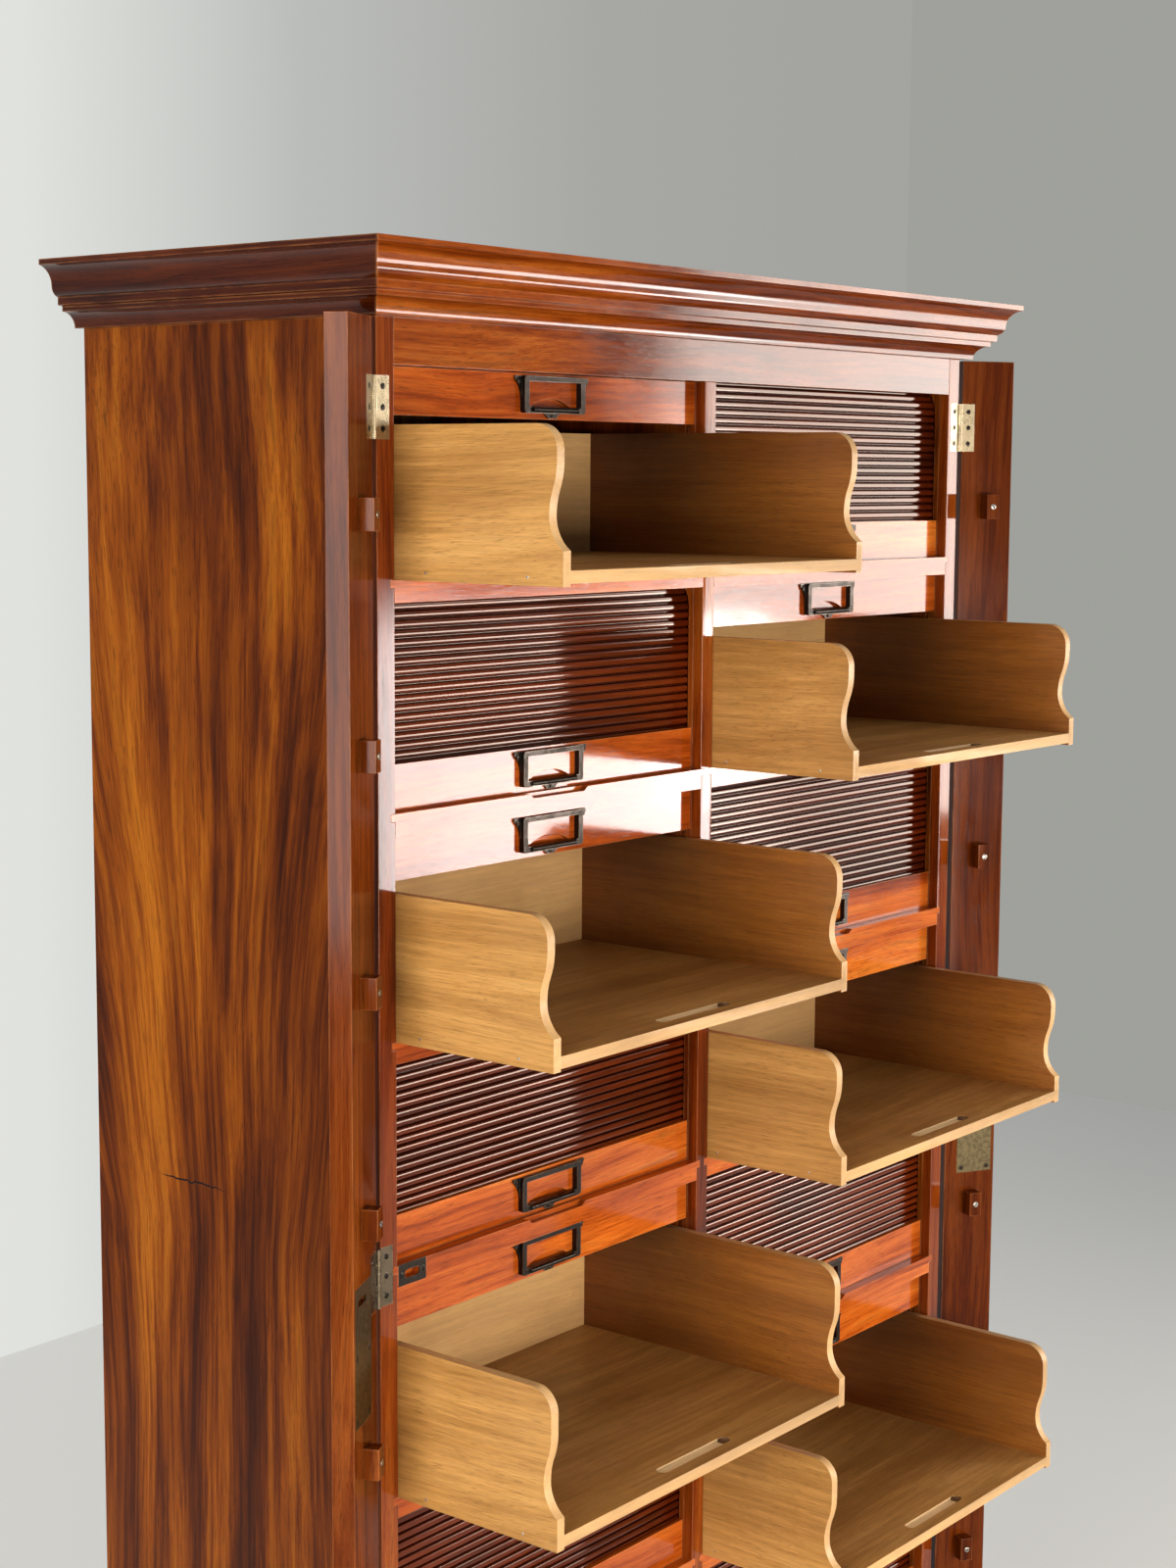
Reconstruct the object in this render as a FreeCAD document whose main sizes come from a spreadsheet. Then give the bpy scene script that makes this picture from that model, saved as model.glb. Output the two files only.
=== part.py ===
"""Tambour filing cabinet: two columns of eight compartments, each with a paper tray and a tambour.

The frame has +X to the right, +Y to the back and +Z up. The origin is on the floor, under the
middle of the case. Rows are numbered from the top. Trays stand drawn out in every other
compartment, and the two locking leaves stand open.
"""
import FreeCAD, Part
import math
import os
import Sketcher

Vector = FreeCAD.Vector
Rotation = FreeCAD.Rotation

document = FreeCAD.newDocument("TambourCabinet")
sheet = document.addObject("Spreadsheet::Sheet", "Size")

DRIVING_SIZES = {
    # case
    "case_width": 946,
    "case_depth": 372,
    "side_thickness": 21.4,
    "centre_width": 18.3,
    "stile_depth": 11.5,
    "back_thickness": 8,
    "back_foot": 30,
    "top_thickness": 18,
    "bottom_thickness": 12,
    "housing_depth": 5,
    "base_height": 90,
    "bearer_width": 45,
    "frieze_height": 40,
    "rail_height": 19.5,
    "upper_opening": 181,
    "lower_opening": 192.5,
    "shelf_thickness": 8,
    "rail_lap_length": 5,
    "rail_lap_height": 6.5,
    "finger_notch_width": 84,
    "finger_notch_drop": 4,
    "finger_notch_run": 5,
    "finger_notch_depth": 7,
    # cornice and base moulding, measured outwards from the case and up from the moulding's foot
    "cornice_height": 60,
    "cornice_reach": 51,
    "cornice_seat": 13,
    "lip_height": 5,
    "lip_step": 3,
    "lip_chamfer": 1,
    "cove_reach": 36.9,
    "cove_level": 36.8,
    "ovolo_reach": 30,
    "ovolo_level": 27,
    "band_level": 20,
    "band_step": 5,
    "band_chamfer": 1,
    "cavetto_level": 14.5,
    "cavetto_foot": 10.7,
    "base_reach": 24,
    "base_shoulder": 70,
    "base_top_reach": 7,
    "base_fillet_height": 2,
    # tambour track, measured back from the front of the stiles
    "track_setback": 17.2,
    "track_width": 6.2,
    "track_depth": 4.8,
    "bend_radius": 26,
    "track_run": 140,
    "track_head_gap": 1,
    # tambour
    "lead_setback": 12.4,
    "lead_lip": 5,
    "lead_height": 41,
    "lead_shoulder": 19.5,
    "lead_side_gap": 0.6,
    "track_play": 0.35,
    "lead_top_gap": 0.5,
    "curtain_tail": 30,
    "slat_pitch": 8.1,
    "slat_width": 7.8,
    "slat_rise": 3.85,
    "canvas_thickness": 0.7,
    "scoop_width": 64,
    "scoop_rise": 10,
    "scoop_depth": 5,
    "scoop_level": 9,
    # pull
    "pull_width": 86,
    "pull_height": 33,
    "pull_depth": 6,
    "flange_thickness": 2,
    "frame_border": 6,
    "frame_sill": 5.5,
    "frame_head": 4.5,
    "frame_corner": 3,
    "ear_reach": 9,
    "ear_drop": 20,
    "ear_tip": 3,
    "ear_radius": 22,
    "ear_screw_drop": 4.4,
    "apron_drop": 4.5,
    "apron_width": 44,
    "apron_flat": 11,
    "apron_radius": 14.7,
    "apron_screw_radius": 1.8,
    "grip_radius": 2.4,
    "grip_width": 64,
    "pull_lift": 5.5,
    "screw_radius": 2.2,
    "screw_head": 0.8,
    # tray
    "tray_gap": 0.6,
    "tray_length": 330,
    "tray_board": 9.5,
    "tray_housing": 4,
    "tray_floor": 10.5,
    "tray_floor_lift": 2.5,
    "upper_tray_height": 131,
    "lower_tray_height": 140,
    "cusp_level": 29,
    "waist_setback": 15,
    "waist_level": 57,
    "bulge_setback": 7,
    "bulge_level": 101,
    "tray_corner": 22,
    "finger_groove_length": 105,
    "finger_groove_width": 12,
    "finger_groove_depth": 3.6,
    "finger_groove_setback": 20,
    "tray_stow": 28,
    "out_left_row1": 185,
    "out_left_row3": 177,
    "out_left_row5": 183,
    "out_left_row7": 178,
    "out_right_row2": 167,
    "out_right_row4": 162,
    "out_right_row6": 165,
    "out_right_row8": 165,
    # locking leaves
    "leaf_width": 65,
    "leaf_thickness": 20.5,
    "leaf_gap": 1.5,
    "hinge_offset": 3.4,
    "face_gap": 0.5,
    "left_open_angle": 153.5,
    "right_open_angle": 150,
    "block_width": 15,
    "block_height": 28,
    "block_depth": 14.5,
    "block_centre": 34,
    "block_lift": 1.5,
    # hinges, lock and strike
    "hinge_height": 53,
    "hinge_plate_width": 15.5,
    "hinge_screw_pitch": 17.7,
    "plate_thickness": 1.6,
    "knuckle_radius": 3,
    "pin_radius": 1.3,
    "pin_play": 0.15,
    "knuckle_gap": 0.3,
    "end_hinge_inset": 76,
    "middle_hinge_drop": 5,
    "lock_width": 45,
    "lock_height": 124,
    "lock_edge": 4,
    "lock_rise": 4.5,
    "lock_screw_inset": 5.7,
    "bolt_slot_length": 22,
    "bolt_slot_width": 6,
    "bolt_slot_depth": 4.8,
    "strike_width": 36,
    "strike_inset": 1.5,
    "strike_slot_length": 20,
    "strike_slot_width": 8,
    "strike_slot_depth": 9.2,
    "strike_screw_inset": 3.9,
    "plate_screw_radius": 2.85,
    "plate_screw_height": 1,
    "plate_screw_play": 0.15,
    "block_screw_radius": 3.2,
}

for line, (alias, value) in enumerate(DRIVING_SIZES.items(), start=1):
    sheet.set(f"A{line}", alias)
    sheet.set(f"B{line}", str(value))
    sheet.setAlias(f"B{line}", alias)
document.recompute()

ROWS = range(1, 9)
UPPER_ROWS = range(1, 5)
COLUMNS = ("left", "right")

FRONT = "(-Size.case_depth / 2)"
BACK = "(Size.case_depth / 2)"
HALF = "(Size.case_width / 2)"
OPENING_WIDTH = "(Size.case_width / 2 - Size.side_thickness - Size.centre_width / 2)"
COLUMN_LOW = {"left": "(-Size.case_width / 2 + Size.side_thickness)", "right": "(Size.centre_width / 2)"}
COLUMN_MIDDLE = {column: f"({COLUMN_LOW[column]} + {OPENING_WIDTH} / 2)" for column in COLUMNS}
INSIDE_FRONT = f"({FRONT} + Size.stile_depth)"
BACK_FACE = f"({BACK} - Size.back_thickness)"
TRACK_FRONT = f"({FRONT} + Size.track_setback)"


def is_upper(row):
    """True for the four shallower rows at the top."""
    return row in UPPER_ROWS


def is_open(column, row):
    """True where the tambour is up and the tray drawn out, in a chequer pattern."""
    return (row % 2 == 1) == (column == "left")


def opening(row):
    """Formula for the clear height of a compartment."""
    return "Size.upper_opening" if is_upper(row) else "Size.lower_opening"


def tray_height(row):
    """Formula for the height of a tray's boards."""
    return "Size.upper_tray_height" if is_upper(row) else "Size.lower_tray_height"


def row_floor(row):
    """Formula for the level on which a row's tray slides."""
    lower_below = min(8 - row, 4)
    upper_below = max(4 - row, 0)
    return (f"(Size.base_height + Size.rail_height + {lower_below} * (Size.lower_opening + Size.rail_height)"
            f" + {upper_below} * (Size.upper_opening + Size.rail_height))")


CASE_TOP = f"({row_floor(1)} + Size.upper_opening + Size.frieze_height)"


def number(formula):
    """The value of a formula in the sheet, as a plain number."""
    return float(sheet.evalExpression(formula))


def place(thing, x, y, z):
    """Bind an object's position to three formulas."""
    thing.setExpression("Placement.Base.x", x)
    thing.setExpression("Placement.Base.y", y)
    thing.setExpression("Placement.Base.z", z)
    return thing


def box(name, corner, size):
    """A box with its low corner and its three sizes given as formulas."""
    solid = document.addObject("Part::Box", name)
    for side, formula in zip(("Length", "Width", "Height"), size):
        solid.setExpression(side, formula)
    return place(solid, *corner)


def cylinder(name, centre, radius, length, rotation=Rotation(), angle="360"):
    """A cylinder that starts at a point and runs along its turned axis."""
    solid = document.addObject("Part::Cylinder", name)
    solid.Placement = FreeCAD.Placement(Vector(), rotation)
    solid.setExpression("Radius", radius)
    solid.setExpression("Height", length)
    solid.setExpression("Angle", angle)
    return place(solid, *centre)


def cut(name, base, tool):
    """The base with the tool taken away."""
    result = document.addObject("Part::Cut", name)
    result.Base = base
    result.Tool = tool
    return result


def common(name, base, tool):
    """The space that two solids share."""
    result = document.addObject("Part::Common", name)
    result.Base = base
    result.Tool = tool
    return result


def fuse(name, solids):
    """Several solids joined into one."""
    result = document.addObject("Part::MultiFuse", name)
    result.Shapes = solids
    return result


def group(name, things):
    """Separate solids kept together under one name."""
    result = document.addObject("Part::Compound", name)
    result.Links = things
    return result


def arc_middle(start, end, radius):
    """Point halfway along the short arc that lies left of start to end when the radius is positive."""
    chord = end - start
    half = chord.Length / 2
    rise = abs(radius) - math.sqrt(max(radius * radius - half * half, 0))
    left = Vector(-chord.y, chord.x, 0).normalize()
    return (start + end) * 0.5 + left * math.copysign(rise, radius)


def outline(name, corners, rotation=Rotation()):
    """A closed sketch whose corners, and the arcs' radii, are all bound to formulas.

    Each corner is (across, up, radius): the radius is None where a straight side follows, and
    otherwise that of the arc that follows, positive where it bows to the left.
    """
    sketch = document.addObject("Sketcher::SketchObject", name)
    sketch.Placement = FreeCAD.Placement(Vector(), rotation)
    points = [Vector(number(across), number(up), 0) for across, up, _ in corners]
    first_ends = []
    last_ends = []
    for index, (_, _, radius) in enumerate(corners):
        start = points[index]
        end = points[(index + 1) % len(points)]
        if radius is None:
            side = sketch.addGeometry(Part.LineSegment(start, end), False)
        else:
            middle = arc_middle(start, end, number(radius))
            side = sketch.addGeometry(Part.Arc(start, middle, end), False)
        starts_first = (sketch.getPoint(side, 1) - start).Length < (sketch.getPoint(side, 2) - start).Length
        first_ends.append((side, 1 if starts_first else 2))
        last_ends.append((side, 2 if starts_first else 1))
    for index, (across, up, radius) in enumerate(corners):
        side, end = first_ends[index]
        sketch.addConstraint(Sketcher.Constraint("Coincident", *last_ends[index - 1], side, end))
        spot = points[index]
        for kind, formula, value in (("DistanceX", across, spot.x), ("DistanceY", up, spot.y)):
            if formula == "0":
                axis = -2 if kind == "DistanceX" else -1
                sketch.addConstraint(Sketcher.Constraint("PointOnObject", side, end, axis))
                continue
            bound = sketch.addConstraint(Sketcher.Constraint(kind, -1, 1, side, end, value))
            sketch.setExpression(f"Constraints[{bound}]", formula)
        if radius is not None:
            bound = sketch.addConstraint(Sketcher.Constraint("Radius", side, abs(number(radius))))
            sketch.setExpression(f"Constraints[{bound}]", f"abs({radius})")
    return sketch


def extrude(name, sketch, direction, length):
    """A solid that runs along a direction from a sketch."""
    solid = document.addObject("Part::Extrusion", name)
    solid.Base = sketch
    solid.DirMode = "Custom"
    solid.Dir = direction
    solid.Solid = True
    solid.setExpression("LengthFwd", length)
    return solid


X_AXIS = Vector(1, 0, 0)
Y_AXIS = Vector(0, 1, 0)
Z_AXIS = Vector(0, 0, 1)
ALONG_X = Rotation(Y_AXIS, 90)
ALONG_Y = Rotation(X_AXIS, -90)
FACING_X = Rotation(Y_AXIS, 90).multiply(Rotation(Z_AXIS, 90))
FACING_FRONT = Rotation(X_AXIS, 90)
parts = []


def keep(thing):
    """Note an object that is written as a node of its own."""
    parts.append(thing)
    return thing


def track_head(row):
    """Formula for the top of a tambour track, just under the shelf above."""
    return (f"({row_floor(row)} + {opening(row)} + Size.rail_height - Size.shelf_thickness"
            " - Size.track_head_gap)")


def track_slab(column, row):
    """The room that one tambour runs in: up the front, round a bend and back under the next shelf."""
    name = f"track_{column}_{row}"
    low = f"({COLUMN_LOW[column]} - Size.track_depth)"
    wide = f"({OPENING_WIDTH} + 2 * Size.track_depth)"
    bend_y = f"({TRACK_FRONT} + Size.track_width / 2 + Size.bend_radius)"
    run_foot = f"({track_head(row)} - Size.track_width)"
    bend_z = f"({run_foot} + Size.track_width / 2 - Size.bend_radius)"
    quarter = Rotation(Y_AXIS, 90).multiply(Rotation(Z_AXIS, 180))
    centre = (low, bend_y, bend_z)
    rise = box(f"{name}_rise", (low, TRACK_FRONT, row_floor(row)),
               (wide, "Size.track_width", f"{bend_z} - {row_floor(row)}"))
    outer = cylinder(f"{name}_outer", centre, "Size.bend_radius + Size.track_width / 2", wide, quarter, "90")
    inner = cylinder(f"{name}_inner", centre, "Size.bend_radius - Size.track_width / 2", wide, quarter, "90")
    bend = cut(f"{name}_bend", outer, inner)
    run = box(f"{name}_run", (low, bend_y, run_foot), (wide, "Size.track_run", "Size.track_width"))
    return fuse(name, [rise, bend, run])


def shelf(column, row):
    """The board under a row's tray, housed into the case on both sides."""
    low = f"{COLUMN_LOW[column]} - Size.housing_depth"
    wide = f"{OPENING_WIDTH} + 2 * Size.housing_depth"
    deep = f"{BACK_FACE} - {INSIDE_FRONT}"
    foot = f"{row_floor(row)} - Size.shelf_thickness"
    return box(f"shelf_{column}_{row}", (low, INSIDE_FRONT, foot), (wide, deep, "Size.shelf_thickness"))


# case boards
tracks = {column: group(f"tracks_{column}", [track_slab(column, row) for row in ROWS]) for column in COLUMNS}
shelves = {column: [shelf(column, row) for row in ROWS if row < 8] for column in COLUMNS}
keep(group("shelves", shelves["left"] + shelves["right"]))
shelf_tools = {column: group(f"shelf_tools_{column}", shelves[column]) for column in COLUMNS}

board_low = f"(-{HALF} + Size.side_thickness - Size.housing_depth)"
board_wide = f"(2 * -{board_low})"
board_deep = f"({BACK_FACE} - {INSIDE_FRONT})"
top_board = keep(box("top_board", (board_low, INSIDE_FRONT, f"{CASE_TOP} - Size.top_thickness"),
                     (board_wide, board_deep, "Size.top_thickness")))
bottom_board = keep(box("bottom_board", (board_low, INSIDE_FRONT, f"{row_floor(8)} - Size.bottom_thickness"),
                        (board_wide, board_deep, "Size.bottom_thickness")))
back_half = f"({HALF} - Size.side_thickness + Size.back_thickness)"
back_head = f"({CASE_TOP} + Size.cornice_height - Size.back_thickness)"
back_panel = keep(box("back_panel", (f"-{back_half}", BACK_FACE, "Size.back_foot"),
                      (f"2 * {back_half}", "Size.back_thickness", f"{back_head} - Size.back_foot")))
cross_boards = group("cross_boards", [top_board, bottom_board])

for column, low in (("left", f"-{HALF}"), ("right", f"{HALF} - Size.side_thickness")):
    board = box(f"side_{column}_board", (low, INSIDE_FRONT, "0"),
                ("Size.side_thickness", f"{BACK} - {INSIDE_FRONT}", CASE_TOP))
    grooved = cut(f"side_{column}_grooved", board, tracks[column])
    housed = cut(f"side_{column}_housed", grooved, shelf_tools[column])
    joined = cut(f"side_{column}_joined", housed, cross_boards)
    keep(cut(f"side_{column}", joined, back_panel))

partition_foot = row_floor(8)
partition = box("partition_board", ("-Size.centre_width / 2", INSIDE_FRONT, partition_foot),
                ("Size.centre_width", board_deep, f"{CASE_TOP} - Size.top_thickness - {partition_foot}"))
partition = cut("partition_grooved", partition, group("tracks", [tracks["left"], tracks["right"]]))
keep(cut("centre_partition", partition, group("shelf_tools", [shelf_tools["left"], shelf_tools["right"]])))

# front frame: rails lapped into three stiles, and the frieze above them
notch_half = "(Size.finger_notch_width / 2)"
notch_foot = f"({notch_half} - Size.finger_notch_run)"
notch_sketch = outline("finger_notch_outline", [
    (f"-{notch_half}", "0", None),
    (f"-{notch_foot}", "-Size.finger_notch_drop", None),
    (notch_foot, "-Size.finger_notch_drop", None),
    (notch_half, "0", None),
], FACING_FRONT)


def rail(column, row):
    """The front rail under a compartment, with laps into the stiles and a finger notch on top."""
    name = f"rail_{column}_{row}"
    foot = f"({row_floor(row)} - Size.rail_height)"
    lap_foot = f"({row_floor(row)} - Size.rail_lap_height)"
    bar = box(f"{name}_bar", (COLUMN_LOW[column], FRONT, foot),
              (OPENING_WIDTH, "Size.stile_depth", "Size.rail_height"))
    lap = box(f"{name}_lap", (f"{COLUMN_LOW[column]} - Size.rail_lap_length", FRONT, lap_foot),
              (f"{OPENING_WIDTH} + 2 * Size.rail_lap_length", "Size.stile_depth", "Size.rail_lap_height"))
    notch = extrude(f"{name}_notch", notch_sketch, Y_AXIS, "Size.finger_notch_depth")
    place(notch, COLUMN_MIDDLE[column], FRONT, row_floor(row))
    return cut(name, fuse(f"{name}_joined", [bar, lap]), notch)


HINGE_CENTRES = {
    "top": f"({CASE_TOP} - Size.end_hinge_inset)",
    "middle": f"({row_floor(4)} - Size.middle_hinge_drop)",
    "bottom": "(Size.base_height + Size.end_hinge_inset)",
}


def mirrored_low(column, start, width):
    """Formula for a box's low X where the left side's box starts at start, counted from the axis."""
    return start if column == "left" else f"(-({start}) - ({width}))"


def stile_plate_recess(column, place_name):
    """The shallow bed for a hinge plate in the face of a stile."""
    start = f"(-{HALF})" if column == "left" else f"({HALF} - Size.hinge_plate_width)"
    foot = f"{HINGE_CENTRES[place_name]} - Size.hinge_height / 2"
    return box(f"bed_{column}_{place_name}", (start, FRONT, foot),
               ("Size.hinge_plate_width", "Size.plate_thickness", "Size.hinge_height"))


strike_foot = f"({row_floor(4)} - Size.rail_height)"
strike_low = {
    "left": f"({COLUMN_LOW['left']} + Size.strike_inset)",
    "right": f"(-({COLUMN_LOW['left']} + Size.strike_inset) - Size.strike_width)",
}


def strike_bed(column):
    """The bed for a strike plate in the end of the middle rail."""
    return box(f"strike_bed_{column}", (strike_low[column], FRONT, strike_foot),
               ("Size.strike_width", "Size.plate_thickness", "Size.rail_height"))


def strike_slot(column, name, depth):
    """The long hole that the bolt enters, with round ends."""
    middle_x = f"({strike_low[column]} + Size.strike_width / 2)"
    middle_z = f"({strike_foot} + Size.rail_height / 2)"
    half = "((Size.strike_slot_length - Size.strike_slot_width) / 2)"
    bar = box(f"{name}_bar", (f"{middle_x} - {half}", FRONT, f"{middle_z} - Size.strike_slot_width / 2"),
              (f"2 * {half}", depth, "Size.strike_slot_width"))
    ends = [cylinder(f"{name}_end_{end}", (f"{middle_x} {end} {half}", FRONT, middle_z),
                     "Size.strike_slot_width / 2", depth, ALONG_Y) for end in ("+", "-")]
    return fuse(name, [bar] + ends)


rails = []
for column in COLUMNS:
    for row in ROWS:
        piece = rail(column, row)
        if row == 4:
            slot = strike_slot(column, f"rail_slot_{column}", "Size.strike_slot_depth")
            tools = fuse(f"rail_tools_{column}", [strike_bed(column), slot])
            piece = cut(f"rail_{column}_bedded", piece, tools)
        rails.append(piece)
keep(group("rails", rails))
rail_tool = group("rail_tool", rails)

stile_solids = []
for column, low in (("left", f"-{HALF}"), ("right", f"{HALF} - Size.side_thickness")):
    bar = box(f"stile_{column}_bar", (low, FRONT, "0"),
              ("Size.side_thickness", "Size.stile_depth", CASE_TOP))
    recesses = [stile_plate_recess(column, place_name) for place_name in HINGE_CENTRES]
    beds = group(f"beds_{column}", recesses)
    bedded = cut(f"stile_{column}_bedded", bar, beds)
    stile_solids.append(cut(f"stile_{column}_lapped", bedded, rail_tool))
centre_foot = f"({row_floor(8)} - Size.rail_height)"
centre_bar = box("stile_centre_bar", ("-Size.centre_width / 2", FRONT, centre_foot),
                 ("Size.centre_width", "Size.stile_depth",
                  f"{CASE_TOP} - Size.frieze_height - {centre_foot}"))
stile_solids.append(cut("stile_centre_lapped", centre_bar, rail_tool))
keep(group("stiles", stile_solids))
keep(box("frieze", (COLUMN_LOW["left"], FRONT, f"{CASE_TOP} - Size.frieze_height"),
         (f"2 * -{COLUMN_LOW['left']}", "Size.stile_depth", "Size.frieze_height")))


# cornice and base moulding, mitred at the two front corners
def arc_radius(run, rise):
    """Formula for the radius of an arc that starts upright and moves run sideways over rise."""
    return f"(({run}) ^ 2 + ({rise}) ^ 2) / (2 * ({run}))"


lip_foot = "(Size.cornice_height - Size.lip_height)"
lip_inner = "(Size.cornice_reach - Size.lip_step)"
ovolo_radius = arc_radius("Size.cove_reach - Size.ovolo_reach", "Size.cove_level - Size.ovolo_level")
cove_radius = arc_radius("Size.cornice_reach - Size.lip_step - Size.cove_reach",
                         "Size.cornice_height - Size.lip_height - Size.lip_chamfer - Size.cove_level")
band_reach = "(Size.ovolo_reach - Size.band_step)"
cavetto_radius = arc_radius(f"{band_reach} - Size.cavetto_foot", "Size.cavetto_level")
CORNICE_CORNERS = [
    ("-Size.cornice_seat", "0", None),
    ("Size.cavetto_foot", "0", cavetto_radius),
    (band_reach, "Size.cavetto_level", None),
    (band_reach, "Size.band_level - Size.band_chamfer", None),
    ("Size.ovolo_reach", "Size.band_level", None),
    ("Size.ovolo_reach", "Size.ovolo_level", f"-({ovolo_radius})"),
    ("Size.cove_reach", "Size.cove_level", cove_radius),
    (lip_inner, f"{lip_foot} - Size.lip_chamfer", None),
    ("Size.cornice_reach", lip_foot, None),
    ("Size.cornice_reach", "Size.cornice_height", None),
    ("-Size.cornice_seat", "Size.cornice_height", None),
]
base_fillet_foot = "(Size.base_height - Size.base_fillet_height)"
base_radius = arc_radius("Size.base_reach - Size.base_top_reach", f"{base_fillet_foot} - Size.base_shoulder")
BASE_CORNERS = [
    ("0", "0", None),
    ("Size.base_reach", "0", None),
    ("Size.base_reach", "Size.base_shoulder", f"-({base_radius})"),
    ("Size.base_top_reach", base_fillet_foot, None),
    ("Size.base_top_reach", "Size.base_height", None),
    ("0", "Size.base_height", None),
]


def moulding(name, corners, foot, height, reach, seat):
    """The front length and the two returns of a moulding, as three solids with mitred corners."""
    facing_front = Rotation(Z_AXIS, -90).multiply(FACING_FRONT)
    facing_left = Rotation(Z_AXIS, 180).multiply(FACING_FRONT)
    outer_x = f"({HALF} + {reach})"
    inner_x = f"({HALF} - {seat})"
    outer_y = f"({FRONT} - {reach})"
    inner_y = f"({FRONT} + {seat})"
    front_sketch = outline(f"{name}_front_outline", corners, facing_front)
    front_bar = extrude(f"{name}_front_bar", front_sketch, X_AXIS, f"2 * {outer_x}")
    place(front_bar, f"-{outer_x}", FRONT, foot)
    front_plan = outline(f"{name}_front_plan", [
        (f"-{outer_x}", outer_y, None),
        (outer_x, outer_y, None),
        (inner_x, inner_y, None),
        (f"-{inner_x}", inner_y, None),
    ])
    front_block = place(extrude(f"{name}_front_block", front_plan, Z_AXIS, height), "0", "0", foot)
    pieces = [common(f"{name}_front", front_bar, front_block)]
    for side, turn in (("left", facing_left), ("right", FACING_FRONT)):
        sign = "-" if side == "left" else ""
        return_sketch = outline(f"{name}_{side}_outline", corners, turn)
        bar = extrude(f"{name}_{side}_bar", return_sketch, Y_AXIS, f"{BACK} - {outer_y}")
        place(bar, f"{sign}{HALF}", outer_y, foot)
        plan = outline(f"{name}_{side}_plan", [
            (f"{sign}{outer_x}", outer_y, None),
            (f"{sign}{inner_x}", inner_y, None),
            (f"{sign}{inner_x}", BACK, None),
            (f"{sign}{outer_x}", BACK, None),
        ])
        block = place(extrude(f"{name}_{side}_block", plan, Z_AXIS, height), "0", "0", foot)
        pieces.append(common(f"{name}_{side}", bar, block))
    return pieces


cornice = moulding("cornice", CORNICE_CORNERS, CASE_TOP,
                   "Size.cornice_height", "Size.cornice_reach", "Size.cornice_seat")
keep(cornice[0])
keep(group("cornice_returns", cornice[1:]))
base = moulding("base", BASE_CORNERS, "0", "Size.base_height", "Size.base_reach", "0")
bearer = box("bearer", ("-Size.bearer_width / 2", INSIDE_FRONT, "0"),
             ("Size.bearer_width", board_deep, f"{row_floor(8)} - Size.bottom_thickness"))
keep(group("base_moulding", base + [bearer]))
cap_half = f"({HALF} - Size.cornice_seat)"
cap_front = f"({FRONT} + Size.cornice_seat)"
keep(box("cornice_top", (f"-{cap_half}", cap_front, back_head),
         (f"2 * {cap_half}", f"{BACK} - {cap_front}", "Size.back_thickness")))


# trays
inflection = ("((Size.waist_setback + Size.bulge_setback) / 2)",
              "((Size.waist_level + Size.bulge_level) / 2)")
cusp_radius = arc_radius("Size.waist_setback", "Size.waist_level - Size.cusp_level")
swell_radius = arc_radius("(Size.waist_setback - Size.bulge_setback) / 2",
                          "(Size.bulge_level - Size.waist_level) / 2")


def tray_side_outline(name, height):
    """The side board of a tray seen from its left: square at the back, an ogee at the front."""
    corner_level = f"({height} - Size.tray_corner)"
    return outline(name, [
        ("0", "0", None),
        ("Size.tray_length", "0", None),
        ("Size.tray_length", height, None),
        ("(Size.bulge_setback + Size.tray_corner)", height, "Size.tray_corner * -1"),
        ("Size.bulge_setback", corner_level, None),
        ("Size.bulge_setback", "Size.bulge_level", f"-({swell_radius})"),
        (*inflection, swell_radius),
        ("Size.waist_setback", "Size.waist_level", cusp_radius),
        ("0", "Size.cusp_level", None),
    ], FACING_X)


tray_sides = {
    True: tray_side_outline("upper_tray_outline", "Size.upper_tray_height"),
    False: tray_side_outline("lower_tray_outline", "Size.lower_tray_height"),
}


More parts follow.
